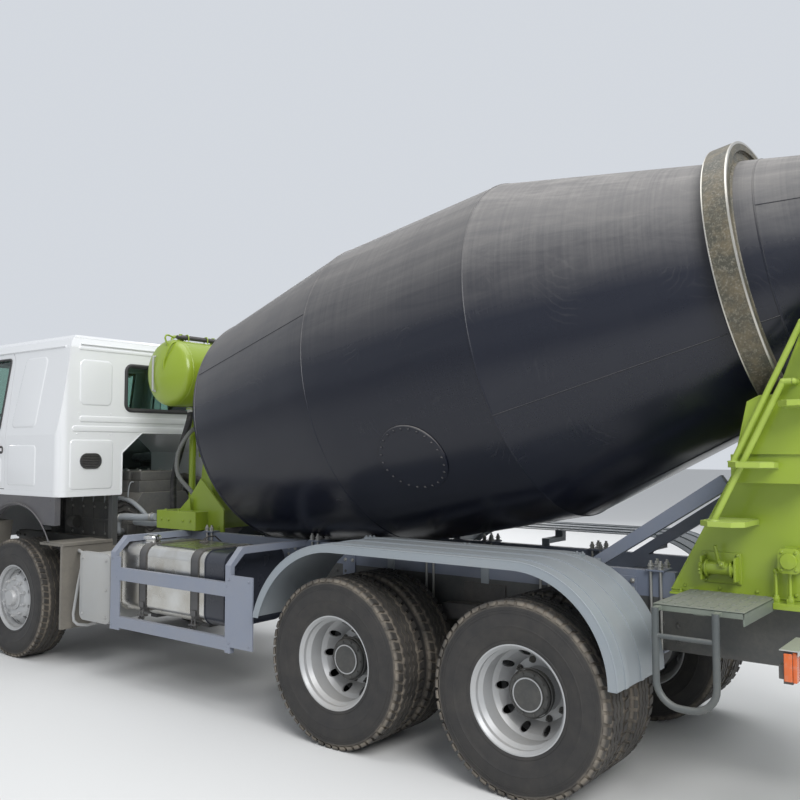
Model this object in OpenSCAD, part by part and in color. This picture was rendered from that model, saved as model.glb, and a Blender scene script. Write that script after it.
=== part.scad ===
/* Concrete mixer truck with three axles, tilting cab and a tilted drum.
   X points forward, Y to the left, Z up. Everything is drawn with X = 0 under
   the front axle, and placed() moves it so that the origin is in the middle. */

/* [Chassis] */
// Distance from the front axle to the first driven axle
wheelbase = 4025; // [3950:5:4100]
// Distance between the two driven axles
bogie_pitch = 1350; // [1300:5:1400]
// Half width over the frame rails
frame_half = 425; // [405:5:430]
// Height of the top of the frame rails above the ground
frame_top = 1050; // [1030:5:1060]
// Depth of a frame rail
rail_h = 300; // [260:5:310]
// Thickness of the rail plate
rail_t = 8; // [6:1:10]
// Width of a rail flange
rail_flange = 80; // [70:5:90]
// Front end of the rails ahead of the front axle
frame_front = 1250; // [1200:5:1270]
// Rear end of the rails behind the front axle
frame_rear = 6900; // [6850:5:6950]
// Height of the subframe rails that carry the drum
subframe_h = 150; // [140:5:150]
// Thickness of an open guard rail or mudguard sheet
sheet_t = 5; // [4:1:8]

/* [Wheels] */
// Outer radius of a tyre
tyre_r = 542; // [530:1:548]
// Width of a tyre
tyre_w = 300; // [285:1:310]
// Radius of the rim's bead seat
rim_r = 286; // [280:1:290]
// Width over the rim flanges
rim_w = 255; // [240:1:265]
// Distance from the middle to the front wheel's centre plane
front_track_half = 1030; // [1020:1:1040]
// Distance from the middle to the plane where twin wheels are bolted
twin_face = 901; // [895:1:905]
// Distance between the two centre planes of a twin wheel
twin_pitch = 343; // [335:1:350]
// Distance from the middle to the king pin
king_pin_y = 880; // [870:1:885]
// Radius of the king pin
king_pin_r = 22; // [20:1:26]

/* [Cab] */
// Rear face of the cab behind the front axle
cab_rear = 720; // [700:5:730]
// Front face of the cab ahead of the front axle
cab_front = 1400; // [1380:5:1410]
// Half width of the cab at the belt
cab_half = 1160; // [1140:5:1170]
// Height of the cab floor
cab_floor = 1490; // [1485:1:1500]
// Height of the cab roof
cab_roof = 2975; // [2960:5:3000]
// Thickness of the cab walls and doors
cab_wall = 50; // [44:1:56]
// Rear shut line of the door ahead of the front axle
door_rear = 212; // [200:1:225]
// Front shut line of the door ahead of the front axle
door_front = 1190; // [1180:1:1200]
// Gap round a door
door_gap = 6; // [5.5:0.5:8]
// Thickness of the window glass
glass_t = 6; // [5:1:8]

/* [Drum] */
// Tilt of the drum axis
drum_tilt = 11; // [10.5:0.1:11.5]
// Height of the drum axis above the front axle
drum_z0 = 1650; // [1645:1:1670]
// Radius of the cylindrical belly
drum_r = 1180; // [1150:1:1190]
// Wall of the drum
drum_wall = 8; // [6:1:12]
// Place of the head's rim along the axis
head_t = 2400; // [2390:1:2420]
// Radius of the head's rim
head_r = 980; // [960:1:990]
// Start of the belly along the axis
belly_t0 = 3790; // [3760:5:3820]
// End of the belly along the axis
belly_t1 = 5140; // [5110:5:5170]
// Mouth of the drum along the axis
mouth_t = 7650; // [7640:1:7660]
// Radius of the mouth
mouth_r = 450; // [440:1:460]
// Middle of the roller ring along the axis
ring_t = 6560; // [6550:1:6570]
// Outer radius of the roller ring
ring_r = 865; // [860:1:870]
// Width of the roller ring
ring_w = 140; // [120:1:150]
// Radius of a support roller
roller_r = 130; // [120:1:135]
// Distance of the roller centres from the middle
roller_y = 545; // [530:1:560]
// Turns of each mixing blade
blade_turns = 2.75; // [2.5:0.25:3]
// Height of a mixing blade in the belly
blade_h = 400; // [350:5:420]

/* [Tanks] */
// Radius of the water tank
water_r = 300; // [280:1:305]
// Half length of the water tank over its dished ends
water_half = 600; // [560:5:620]
// Length of the fuel tank
fuel_len = 1260; // [1200:5:1290]

/* [Chute] */
// Place of the swing axis behind the front axle
swing_x = 7560; // [7545:5:7570]
// Height of the chute's tilt pin
chute_pin_z = 2020; // [2000:5:2030]
// Slope of the chute at rest
chute_slope = 35; // [34:0.5:36]
// Length of the main chute
chute_len = 1050; // [1000:5:1100]
// Inner radius of the chute's half pipe
chute_r = 200; // [190:1:205]

/* [Hidden] */
$fn = 48;

seat = 0.3;
mid_x = -wheelbase;
rear_x = -wheelbase - bogie_pitch;
axle_z = tyre_r;
frame_bot = frame_top - rail_h;
subframe_top = frame_top + subframe_h;
bumper_front = cab_front + 50;
chute_wall = 5;
chute_rise = 40;
fold_gap = 25;
rim_n = chute_rise + chute_r;
fold_n = rim_n + 20;
overall_rear = swing_x + chute_len * cos(chute_slope)
    + (2 * fold_n - chute_rise + chute_wall) * sin(chute_slope);
x_shift = (overall_rear - bumper_front) / 2;

// Small helpers: a box from its corners, a bar between two points, and prisms
module bx(x, y, z) translate([min(x), min(y), min(z)])
    cube([max(x) - min(x), max(y) - min(y), max(z) - min(z)]);
module both() { children(); mirror([0, 1, 0]) children(); }
module rod(p, q, r) {
    d = q - p;
    len = norm(d);
    translate(p) rotate([0, acos(d.z / len), atan2(d.y, d.x)]) cylinder(h = len, r = r);
}
module pipe(pts, r) {
    for (i = [0:len(pts) - 2]) rod(pts[i], pts[i + 1], r);
    for (i = [1:len(pts) - 2]) translate(pts[i]) sphere(r = r * 1.06);
}
// A hose: one tube swept along a smooth curve through its points
function curve(p, i, u) = let (a = p[max(i - 1, 0)], b = p[i], c = p[i + 1], d = p[min(i + 2, len(p) - 1)])
    b + u * (c - a) / 2 + u * u * (2 * a - 5 * b + 4 * c - d) / 2 + u * u * u * (3 * b - 3 * c + d - a) / 2;
module hose(p, r, parts = 4, sides = 10) {
    path = [for (i = [0:len(p) - 2], k = [0:parts - 1]) curve(p, i, k / parts), p[len(p) - 1]];
    n = len(path);
    ring = [for (i = [0:n - 1])
        let (d = path[min(i + 1, n - 1)] - path[max(i - 1, 0)], t = d / norm(d),
             u0 = cross(t, [0, 1, 0.01]), u = u0 / norm(u0), v = cross(t, u))
        for (k = [0:sides - 1]) path[i] + r * (cos(k * 360 / sides) * u + sin(k * 360 / sides) * v)];
    polyhedron(ring, concat(
        [[for (k = [sides - 1:-1:0]) k]], [[for (k = [0:sides - 1]) (n - 1) * sides + k]],
        [for (i = [0:n - 2], k = [0:sides - 1]) let (a = i * sides, b = (k + 1) % sides)
            [a + k, a + b, a + sides + b, a + sides + k]]
    ), convexity = 8);
}
module along_y(y0, y1) translate([0, y1, 0]) rotate([90, 0, 0])
    linear_extrude(y1 - y0) children();
module along_x(x0, x1) translate([x0, 0, 0]) rotate([90, 0, 90])
    linear_extrude(x1 - x0) children();
module along_z(z0, z1) translate([0, 0, z0]) linear_extrude(z1 - z0) children();
module pin_y(x, z, y0, y1, r) translate([x, y0, z]) rotate([-90, 0, 0]) cylinder(h = y1 - y0, r = r);
module round_rect(x0, y0, x1, y1, r) {
    translate([x0 + r, y0]) square([x1 - x0 - 2 * r, y1 - y0]);
    translate([x0, y0 + r]) square([x1 - x0, y1 - y0 - 2 * r]);
    for (x = [x0 + r, x1 - r], y = [y0 + r, y1 - r]) translate([x, y]) circle(r = r);
}
module placed() translate([x_shift, 0, 0]) children();

// Chassis frame: two channel rails and the crossmembers between their webs
cross_x = [1180, -1780, -2700, -3420, -4700, -5960, -6850];
module channel(h, w, t) {
    square([t, h]);
    square([w, t]);
    translate([0, h - t]) square([w, t]);
}
module chassis_frame() color([0.16, 0.17, 0.18]) placed() {
    both() along_x(-frame_rear, frame_front) translate([frame_half, frame_bot]) mirror([1, 0])
        channel(rail_h, rail_flange, rail_t);
    for (x = cross_x) {
        in = frame_half - rail_t;
        bx([x - 4, x + 4], [-in, in], [frame_bot + 150, frame_top - 20]);
        for (z = [frame_bot + 142, frame_top - 28]) bx([x - 40, x + 40], [-in, in], [z, z + 8]);
    }
    both() bx([-frame_rear - 20, -frame_rear], [120, frame_half], [frame_bot, frame_top]);
    difference() {
        bx([-frame_rear - 20, -frame_rear], [-121, 121], [frame_bot, frame_top]);
        translate([-frame_rear - 30, 0, tow_z]) rotate([0, 90, 0]) cylinder(h = 40, r = tow_pin_r);
    }
    both() difference() {
        union() {
            bx([frame_front - 300, tow_x], [tow_y - 15, tow_y + 15], [tow_eye_z - 50, frame_bot]);
            pin_y(tow_x, tow_eye_z, tow_y - 15, tow_y + 15, 50);
        }
        pin_y(tow_x, tow_eye_z, tow_y - 20, tow_y + 20, tow_eye_r);
    }
    bx([-6980, -6920], [-1200, 1200], [520, 640]);
    both() bx([-6980, -6920], [300, 340], [640, 1000]);
    both() {
        bx([-710, -650], [540, 600], [940, cab_floor - seat]);
        bx([-710, -650], [frame_half, 540], [940, 1000]);
        for (y = [345, 397]) {
            bx([frame_front - 60, hinge_x], [y, y + 18], [hinge_z - hinge_eye, hinge_z + hinge_eye]);
            pin_y(hinge_x, hinge_z, y, y + 18, hinge_eye);
        }
        pin_y(hinge_x, hinge_z, 345, 415, hinge_pin_r);
    }
}
hinge_x = cab_front - 100;
hinge_z = 1000;
hinge_pin_r = 20;
hinge_eye = 28;
tow_z = 900;
tow_pin_r = 25;
tow_x = 1300;
tow_y = 330;
tow_eye_z = 420;
tow_eye_r = 24;

// Subframe: box rails on the chassis rails, their clamps and the rear struts
sub_rear = 6780;
box_w = 60;
module subframe() color([0.42, 0.46, 0.55]) placed() {
    both() {
        along_y(frame_half - box_w, frame_half) polygon([
            [-sub_rear, frame_top], [-1300, frame_top], [-1500, subframe_top],
            [-5990, subframe_top], [-6000, frame_top + 60], [-sub_rear, frame_top + 60]
        ]);
        for (x = [-2900, -3500, -5700]) {
            bx([x - 60, x + 60], [frame_half, frame_half + 10], [frame_top - 160, frame_top + 110]);
        }
        along_y(frame_half - box_w, frame_half - 5) polygon([
            [-5400, subframe_top], [-5520, subframe_top], [-6310, 1700], [-6260, 1770]
        ]);
    }
    for (x = [-1700, -2600, -3600, -4600, -5500]) {
        bx([x - 50, x + 50], [box_w + seat - frame_half, frame_half - box_w - seat],
            [frame_top + 10, subframe_top - 90]);
    }
}

// Engine, gearbox, radiator and propeller shafts as plain blocks
module driveline() color([0.12, 0.13, 0.14]) placed() {
    bx([-700, 520], [-330, 330], [800, 1500]);
    bx([-650, 500], [-260, 260], [1500, 1720]);
    bx([-1250, -700], [-250, 250], [760, 1230]);
    bx([-1640, -1250], [-170, 170], [780, 1120]);
    bx([640, 760], [-340, 340], [880, 1420]);
    bx([520, 640], [-60, 60], [1100, 1200]);
    rod([-1630, 0, 840], [mid_x + 300, 0, axle_z + 10], 50);
    translate([mid_x + 230 + seat, 0, axle_z + 10]) rotate([0, 90, 0]) cylinder(h = 80, r = 60);
    translate([rear_x + 230 + seat, 0, axle_z + 10]) rotate([0, 90, 0])
        cylinder(h = bogie_pitch - 460 - 2 * seat, r = 45);
}

// Front axle: a dropped beam with king pin eyes, and its leaf springs
leaf_r = 3000;
module leaf(x0, z, half, w, t) intersection() {
    translate([x0, 0, z + leaf_r]) rotate([90, 0, 0]) difference() {
        cylinder(h = w, r = leaf_r, center = true, $fn = 180);
        cylinder(h = w + 2, r = leaf_r - t, center = true, $fn = 180);
    }
    bx([x0 - half, x0 + half], [-w / 2, w / 2], [z - 10, z + 400]);
}
spring_y = 385;
module front_axle() color([0.13, 0.13, 0.14]) placed() {
    beam_bot = axle_z - 110;
    difference() {
        union() {
            for (s = [-1, 1]) {
                bx([-45, 45], [s * 560, 0], [beam_bot, beam_bot + 110]);
                along_x(-40, 40) polygon([
                    [s * 540, beam_bot], [s * 540, beam_bot + 110], [s * 780, axle_z + 50],
                    [s * king_pin_y, axle_z + 50], [s * king_pin_y, axle_z - 50], [s * 790, axle_z - 50]
                ]);
                translate([0, s * king_pin_y, axle_z - 50]) cylinder(h = 100, r = 48);
            }
        }
        for (s = [-1, 1]) translate([0, s * king_pin_y, axle_z - 60])
            cylinder(h = 120, r = king_pin_r + 0.1);
    }
    both() translate([0, spring_y, 0]) {
        for (i = [0:3]) leaf(0, beam_bot + 110 + 18 * i, 380 + 140 * i, 80, 18);
        for (x = [-780, 780]) bx([x - 50, x + 50], [-38, 38], [650, frame_bot]);
        for (x = [-60, 60]) bx([x - 10, x + 10], [-52, 52], [beam_bot - 20, beam_bot + 210]);
    }
}

// Rear bogie: two driven axle housings, trunnion, springs and torque rods
module rear_bogie() color([0.13, 0.13, 0.14]) placed() {
    trunnion_x = (mid_x + rear_x) / 2;
    for (x = [mid_x, rear_x]) {
        pin_y(x, axle_z, -hub_back + seat, hub_back - seat, 75);
        translate([x, 0, axle_z + 10]) sphere(r = 210);
        translate([x, 0, axle_z + 10]) rotate([0, 90, 0]) cylinder(h = 460, r = 110, center = true);
        both() bx([x - 70, x + 70], [440, 540], [axle_z + 60, axle_z + 130]);
        both() rod([trunnion_x, 300, 620], [x, 300, axle_z - 30], 28);
    }
    pin_y(trunnion_x, 665, -560, 560, 58);
    both() {
        bx([trunnion_x - 160, trunnion_x + 160], [frame_half, frame_half + 12], [600, frame_top - 30]);
        for (i = [0:4]) translate([0, 490, 0]) mirror([0, 0, 1])
            leaf(trunnion_x, -810 - 20 * i, 720 - 110 * i, 90, 20);
        bx([trunnion_x - 90, trunnion_x + 90], [440, 540], [640, 790]);
    }
}

// Fuel tank with rounded edges, hung on the left rail by two straps
tank_x1 = -1610;
tank_x0 = tank_x1 - fuel_len;
tank_y = [500, 1110];
tank_z = [600, 1150];
strap_x = [tank_x1 - 290, tank_x0 + 330];
module fuel_tank() color([0.72, 0.72, 0.70]) placed() {
    along_x(tank_x0, tank_x1) round_rect(tank_y[0], tank_z[0], tank_y[1], tank_z[1], 90);
    for (x = [tank_x0 - 6, tank_x1])
        along_x(x, x + 6) round_rect(tank_y[0] + 15, tank_z[0] + 15, tank_y[1] - 15, tank_z[1] - 15, 80);
    translate([tank_x1 - 190, 950, tank_z[1] - 10]) cylinder(h = 45, r = 62);
}
module tank_straps() color([0.45, 0.46, 0.48]) placed() for (x = strap_x) {
    difference() {
        along_x(x - 35, x + 35)
            round_rect(tank_y[0] - 6, tank_z[0] - 6, tank_y[1] + 6, tank_z[1] + 6, 96);
        along_x(x - 40, x + 40)
            round_rect(tank_y[0] - seat, tank_z[0] - seat, tank_y[1] + seat, tank_z[1] + seat, 90);
    }
    bx([x - 40, x + 40], [frame_half, tank_y[0] - 6], [560, 1010]);
    bx([x - 40, x + 40], [frame_half, 1000], [560, tank_z[0] - 6]);
}

// Side guards: posts, two rails and a rear panel on each side
guard_y = 1200;
module guard_post(x0, x1) {
    along_x(x0, x1) polygon([
        [guard_y - 40, 463], [guard_y, 463], [guard_y, 1084], [guard_y - 118, 1206],
        [frame_half, 1206], [frame_half, 1156], [guard_y - 134, 1156], [guard_y - 40, 1072]
    ]);
}
module side_guards() color([0.42, 0.46, 0.55]) placed() both() {
    guard_post(-1650, -1590);
    guard_post(-3040, -2985);
    for (z = [[860, 960], [480, 570]]) bx([-1650, -3040], [guard_y - 40, guard_y], z);
    bx([-1590, -1710], [guard_y - 12, guard_y], [463, 1050]);
    bx([-2985, mid_x + 755], [guard_y - 12, guard_y], [507, 1017]);
}

// Battery box on the left, air tanks and treatment tank on the right
module side_boxes() color([0.80, 0.80, 0.76]) placed() {
    bx([-1500, -1080], [frame_half, 1125], [500, 1020]);
    along_y(1125, 1150) round_rect(-1510, 470, -1070, 1050, 60);
    mirror([0, 1, 0]) {
        for (z = [700, 930]) translate([-2900, 780, z]) rotate([0, 90, 0]) cylinder(h = 1200, r = 105);
        for (x = [-2700, -1950]) bx([x - 20, x + 20], [frame_half, 960], [560, 590]);
        for (x = [-2700, -1950]) bx([x - 20, x + 20], [frame_half, 640], [590, 1000]);
        for (x = [-2700, -1950]) bx([x - 20, x + 20], [640, 960], [590, 600]);
        for (x = [-2700, -1950]) bx([x - 20, x + 20], [640, 700], [880, 980]);
    }
}

// Exhaust: a silencer box on the right and its pipe from the engine
module exhaust() color([0.35, 0.34, 0.33]) placed() mirror([0, 1, 0]) {
    along_x(-1560, -1000) round_rect(560, 520, 1080, 1000, 80);
    pipe([[-500, 330 + seat, 1150], [-500, 440, 1150], [-600, 470, 1120], [-840, 470, 1085],
          [-880, 590, 880], [-1030, 660, 820]], 40);
    bx([-1300, -1240], [frame_half, 560], [800, 1000]);
}

// Air intake behind the cab with its duct to the engine
module air_intake() color([0.10, 0.10, 0.11]) placed() mirror([0, 1, 0]) {
    translate([-950, 800, 1110]) cylinder(h = 560, r = 170);
    bx([-900, -1000], [frame_half - 60, 900], [frame_top, 1110]);
    pipe([[-950, 700, 1500], [-860, 420, 1560], [-500, 400, 1610], [-500, 260 + seat, 1610]], 60);
    bx([-1060, -800], [880, 1060], [1600, 2900]);
}

// Rear mudguards: a front quarter, a flat top and a rear quarter, with ribs
guard_top = 1302;
arc_f = [mid_x - 15, 560, 742];
arc_r = [rear_x, 692, 610];
module tub(d0, d1) {
    module quarter(c, dir, z_end) intersection() {
        translate([c.x, c.y]) difference() {
            circle(r = c.z + d1, $fn = 120);
            circle(r = c.z + d0, $fn = 120);
        }
        translate([dir > 0 ? c.x : c.x - c.z - 20, z_end]) square([c.z + 20, 900]);
    }
    quarter(arc_f, 1, 760);
    quarter(arc_r, -1, 690);
    translate([arc_r.x, guard_top + d0]) square([arc_f.x - arc_r.x, d1 - d0]);
}
module rear_mudguards() color([0.42, 0.46, 0.55]) placed() both() {
    along_y(600, 1250) tub(-sheet_t, 0);
    along_y(1246, 1250) tub(-50, 0);
    for (y = [720, 925, 1130]) along_y(y - 20, y + 20) tub(-1, 6);
    for (x = [mid_x + 125, (mid_x + rear_x) / 2, rear_x - 125]) {
        bx([x - 30, x + 30], [frame_half, frame_half + 10], [frame_top - 30 + seat, 1250]);
        bx([x - 30, x + 30], [frame_half, 700], [1215, 1250]);
        bx([x - 30, x + 30], [640, 700], [1215, guard_top - 2]);
    }
}

// The drum axis: children are drawn along local Z, with local X pointing up
module on_axis() translate([0, 0, drum_z0]) rotate([0, drum_tilt - 90, 0]) children();
function axis_x(t) = -t * cos(drum_tilt);
function axis_z(t) = drum_z0 + t * sin(drum_tilt);
cone_slope = (drum_r - mouth_r) / (mouth_t - belly_t1);
head_c = 4015;
head_round = norm([head_r, head_t - head_c]);
flange_r = 300;
flange_t = 2110;
function drum_radius(t) =
    t < head_t ? sqrt(max(0, head_round * head_round - (t - head_c) * (t - head_c))) :
    t < belly_t0 ? head_r + (drum_r - head_r) * (t - head_t) / (belly_t0 - head_t) :
    t < belly_t1 ? drum_r : drum_r - cone_slope * (t - belly_t1);

// Front pedestal: cross box, side gussets and the slanted bearing plate
pad_face = 1750;
pad_r = 190;
module front_pedestal() color([0.62, 0.72, 0.16]) placed() {
    bx([-1790, -1250], [-500, 500], [subframe_top + 10, subframe_top + 170]);
    both() {
        along_y(345, 365) polygon([
            [-1440, subframe_top + 170], [-1690, 1660], [-2000, subframe_top + 190],
            [-2000, subframe_top], [-1440, subframe_top]
        ]);
    }
    intersection() {
        on_axis() translate([-1100, -300, pad_face - 30]) cube([1290, 600, 30]);
        bx([-2600, -1000], [-345, 345], [subframe_top + 170, 3000]);
    }
    on_axis() translate([0, 0, pad_face - 50]) cylinder(h = 50, r = pad_r);
    both() along_y(180, 200) polygon([
        [-1460, subframe_top + 170], [axis_x(pad_face - 30) + 160, axis_z(pad_face) - 120],
        [axis_x(pad_face - 30) - 60, axis_z(pad_face) - 320],
        [-1740, subframe_top + 170]
    ]);
    both() rod([post_x, post_y, subframe_top + 170], [post_x, post_y, saddle_z], post_tube);
    bx([-1460, post_x + post_tube], [-190, 190], [saddle_z, saddle_z + 20]);
}
post_x = -1290;
post_y = 135;
post_tube = 32;
saddle_z = 2290;

// Reducer and hydraulic motor that turn the drum
module reducer() color([0.62, 0.72, 0.16]) placed() on_axis() {
    translate([0, 0, pad_face]) cylinder(h = 60, r = 230);
    translate([0, 0, pad_face + 60]) cylinder(h = 180, r = 200);
    translate([0, 0, pad_face + 240]) cylinder(h = flange_t - pad_face - 240 - seat, r = 270);
    translate([0, 0, pad_face - 260]) cylinder(h = 210, r = 110);
    translate([-60, -80, pad_face - 420]) cube([120, 160, 160]);
}

// Water tank with dished ends, lying across behind the cab
tank_c = [-1400, 0, 2612];
dish_r = water_half;
dish_side = sqrt(dish_r * dish_r - water_r * water_r);
module water_tank() color([0.62, 0.75, 0.18]) placed() {
    translate(tank_c) {
        rotate([90, 0, 0]) rotate_extrude($fn = 72) polygon(concat(
            [for (a = [0:5:30]) if (dish_r * sin(a) < water_r) [dish_r * sin(a), -dish_r * cos(a)]],
            [[water_r, -dish_side], [water_r, dish_side]],
            [for (a = [30:-5:0]) if (dish_r * sin(a) < water_r) [dish_r * sin(a), dish_r * cos(a)]]
        ));
        for (y = [-380, 0, 380]) translate([0, y, water_r - 15]) cylinder(h = 60, r = 30);
        pipe([[60, -430, water_r - 10], [60, -430, water_r + 45], [60, 430, water_r + 45],
              [60, 430, water_r - 10]], 14);
    }
    both() bx([-1460, -1340], [60, 185], [saddle_z + 20 + seat, 2380]);
}

// Hoses from the tank and the oil lines of the motor
module hoses() color([0.08, 0.08, 0.09]) placed() {
    hose([[-1400, 250, 2306], [-1400, 250, 2260], [-1360, 250, 2140], [-1240, 240, 1900],
          [-1120, 215, 1650], [-1100, 200, 1440], [-1100, 200, 1231.5]], 30);
    hose([[-1372.6, 40, 1981], [-1362, 60, 2040], [-1420, 220, 2110], [-1400, 330, 1990],
          [-1335, 345, 1850], [-1350, 345, 1680], [-1500, 300, 1520], [-1530, 290, 1450],
          [-1530, 290, 1372]], 20);
}

// Rear pedestal: side plates, front web, top beam and the arms of the hopper
beam_x = [-6780, -6400];
beam_z = [1740, 1890];
post_top = 3260;
function plate_x(z) = -6780 - (z - 2190) * 0.36;
module rear_pedestal() color([0.56, 0.66, 0.12]) placed() {
    base = frame_top + 60;
    both() {
        along_y(500, 512) polygon([
            [-6000, base], [-6157, 1407], [-6380, 1826], [-6410, 1890], [-6800, 1890],
            [-6880, 1700], [-6880, base]
        ]);
        along_y(690, 705) polygon([
            [-6440, 1890], [-6500, 2164], [-6560, 2190], [-6645, 2190], [-7060, post_top],
            [-7180, post_top], [-6860, 2080], [-6780, 1890]
        ]);
    }
    bx([-6880, -6000], [-505, 505], [base, base + 12]);
    both() bx([-6880, -6000], [frame_half, 540], [base - 12, base]);
    bx(beam_x, [-690, 690], beam_z);
    bx([-6880, -6868], [-500, 500], [base + 12, 1740]);
    both() {
        for (z = [2360, 2760, 3160]) bx([plate_x(z) - 60, plate_x(z) + 60], [665, 690], [z, z + 30]);
        rod([-7110, 670, post_top - 60], [-7865, 480, 3566], 32);
        bx([-7925, -7805], [420, 540], [3560, 3600 - seat]);
    }
}

// Ears that carry the two support rollers, and the bearings of the chute's post
roller_d = sqrt(pow(ring_r + roller_r + seat, 2) - roller_y * roller_y);
shaft_r = 30;
ear_t = 18;
ear_gap = ring_w / 2 + 12;
module chute_bearing(z) difference() {
    union() {
        translate([-swing_x, 0, z]) cylinder(h = 80, r = post_r + 25);
        both() along_z(z + 15, z + 65) polygon([
            [-6880.3, 300], [-6880.3, 360], [-swing_x + 20, 60], [-swing_x + 60, 30]
        ]);
    }
    translate([-swing_x, 0, z - 1]) cylinder(h = 82, r = post_r + 0.1);
}
module bearing_brackets() color([0.50, 0.60, 0.12]) placed() {
    for (z = [1150, 1640]) chute_bearing(z);
    both() roller_ears();
}
module roller_ears() difference() {
    intersection() {
        union() for (t = [ring_t - ear_gap - ear_t, ring_t + ear_gap]) on_axis() {
            translate([-roller_d - 300, roller_y - 110, t]) cube([300, 220, ear_t]);
            translate([-roller_d, roller_y, t]) cylinder(h = ear_t, r = 70);
        }
        bx([-8000, -5000], [0, 1000], [beam_z[1], 3000]);
    }
    on_axis() translate([-roller_d, roller_y, ring_t - 200]) cylinder(h = 400, r = shaft_r + 0.1);
}
module roller(s) color([0.25, 0.25, 0.26]) placed() on_axis()
    translate([-roller_d, s * roller_y, ring_t]) {
        cylinder(h = ring_w, r = roller_r, center = true);
        cylinder(h = 2 * (ear_gap + ear_t + 12), r = shaft_r, center = true);
    }

// Ladder treads and handrails on the left of the rear pedestal
ladder_rise = 310;
ladder_z0 = 1540;
plate_out = 705;
module tread(x, half, y0, y1, z) along_z(z - 28, z) polygon([
    [x - half, y0], [x + half, y0], [x + half, y1 - 55], [x + half - 55, y1], [x - half + 55, y1], [x - half, y1 - 55]
]);
module ladder() color([0.68, 0.78, 0.20]) placed() {
    for (i = [0:1]) tread(-6375 - 150 * i, 115, (i == 0 ? 512 : 690) + seat, 830, ladder_z0 + ladder_rise * i);
    for (i = [2:5]) let (z = ladder_z0 + ladder_rise * i) tread(plate_x(z), 90, plate_out + seat, 890, z);
    pipe([[-6430, 750, 1850], [-6780, 750, 2560], [-6880, 750, 2560], [-6880, plate_out + seat, 2560]], 16);
    pipe([[-6330, 770, 1540], [-6690, 770, 2260], [-6740, 770, 2260], [-6740, plate_out + seat, 2260]], 16);
    pipe([[plate_x(2470), 880, 2450], [plate_x(3090), 880, 3090], [-7140, 880, 3926], [-7450, 880, 3926],
          [-7450, 550 + seat, 3926]], 16);
}

// Rear step on the left: a platform and a bent tube hoop
module rear_step() color([0.40, 0.42, 0.42]) placed() {
    bx([-6570, -6120], [540, 1100], [1112, 1140]);
    bx([-6570, -6540], [540, 1100], [1060, 1112]);
    pipe([[-6150, 1080, 1112], [-6150, 1150, 1090], [-6150, 1150, 640], [-6450, 1150, 640],
          [-6450, 1150, 1090], [-6450, 1080, 1112]], 16);
    rod([-6150, 1150, 980], [-6450, 1150, 980], 14);
    bx([-6350, -6290], [frame_half, 540], [1040, 1090]);
    bx([-6350, -6290], [540, 1000], [1080, 1112]);
}

// Mixer controls: levers, their box and the chute winch
module controls() color([0.56, 0.66, 0.14]) placed() {
    bx([-6390, -6190], [512, 600], [1190, 1330]);
    pin_y(-6290, 1350, 512, 600, 35);
    along_y(512, 600) round_rect(-6710, 1270, -6600, 1400, 25);
    for (x = [-6580, -6650]) rod([x, 560, 1100], [x, 560, 1275], 9);
    bx([-6720, -6570 - seat], [540, 600], [1080, 1112]);
}

// Feed hopper: an open funnel whose throat reaches into the drum mouth
throat_y = 250;
throat_x = -7350;
module hopper_body(e) {
    intersection() {
        along_y(-700, 700) polygon([
            [-7420 - e, 3950 + e], [-8300 + e, 3950 + e], [-8180 + e, 3560 + e],
            [throat_x + e, 3040 + e], [throat_x + e, 3330 - e], [-7640 - e, 3440 - e],
            [-7640 - e, 3600]
        ]);
        along_x(-8400, -7200) polygon([
            [-520 + e, 3950 + e], [520 - e, 3950 + e], [throat_y - e, 3480], [throat_y - e, 2900],
            [-throat_y + e, 2900], [-throat_y + e, 3480]
        ]);
    }
}
module feed_hopper() color([0.60, 0.70, 0.15]) placed() {
    difference() {
        hopper_body(0);
        hopper_body(8);
        bx([-8400, -7200], [-700, 700], [3942, 4100]);
        bx([throat_x - 8, throat_x + 150], [-throat_y + 8, throat_y - 8], [3060, 3320]);
    }
    difference() {
        bx([-8330, -7390], [-550, 550], [3910, 3942]);
        bx([-8290, -7430], [-510, 510], [3900, 3950]);
    }
    both() bx([-7930, -7800], [322, 560], [3600, 3640]);
}

// Discharge hopper: a cone under the drum mouth that ends above the chute
hop_top = 3020;
hop_bot = 2400;
hop_r0 = 170;
hop_r1 = 400;
module discharge_hopper() color([0.60, 0.70, 0.15]) placed() {
    difference() {
        union() {
            translate([-swing_x, 0, hop_bot]) cylinder(h = hop_top - hop_bot, r1 = hop_r0, r2 = hop_r1);
            translate([-swing_x, 0, hop_bot - 60]) cylinder(h = 60, r = hop_r0);
        }
        translate([-swing_x, 0, hop_bot]) cylinder(h = hop_top - hop_bot + 1, r1 = hop_r0 - 6, r2 = hop_r1 - 6);
        translate([-swing_x, 0, hop_bot - 61]) cylinder(h = 62, r = hop_r0 - 6);
        on_axis() cylinder(h = mouth_t + 30, r = mouth_r + 40);
        on_axis() translate([0, 0, mouth_t - 900]) cylinder(h = 860, r1 = mouth_r + 340, r2 = mouth_r + 60);
    }
    both() {
        bx([-6930, -6870], [650, 690 - seat], [2470, 2530]);
        rod([-6900, 670, 2500], [-swing_x + 135, 145, 2470], 22);
    }
}

// Lamps: tail lamps on their carriers and head lamps in the bumper
module lamps() color([0.75, 0.20, 0.12]) placed() both() {
    bx([-6800, -6760], [880, 1180], [850, 1000]);
    bx([-6760, -6740], [frame_half, 1180], [870, 930]);
    along_x(bumper_front - 36, bumper_front - 4)
        round_rect(710 + seat, 610 + seat, 1090 - seat, 810 - seat, 55 - seat);
}

bumper_top = 885;
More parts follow.
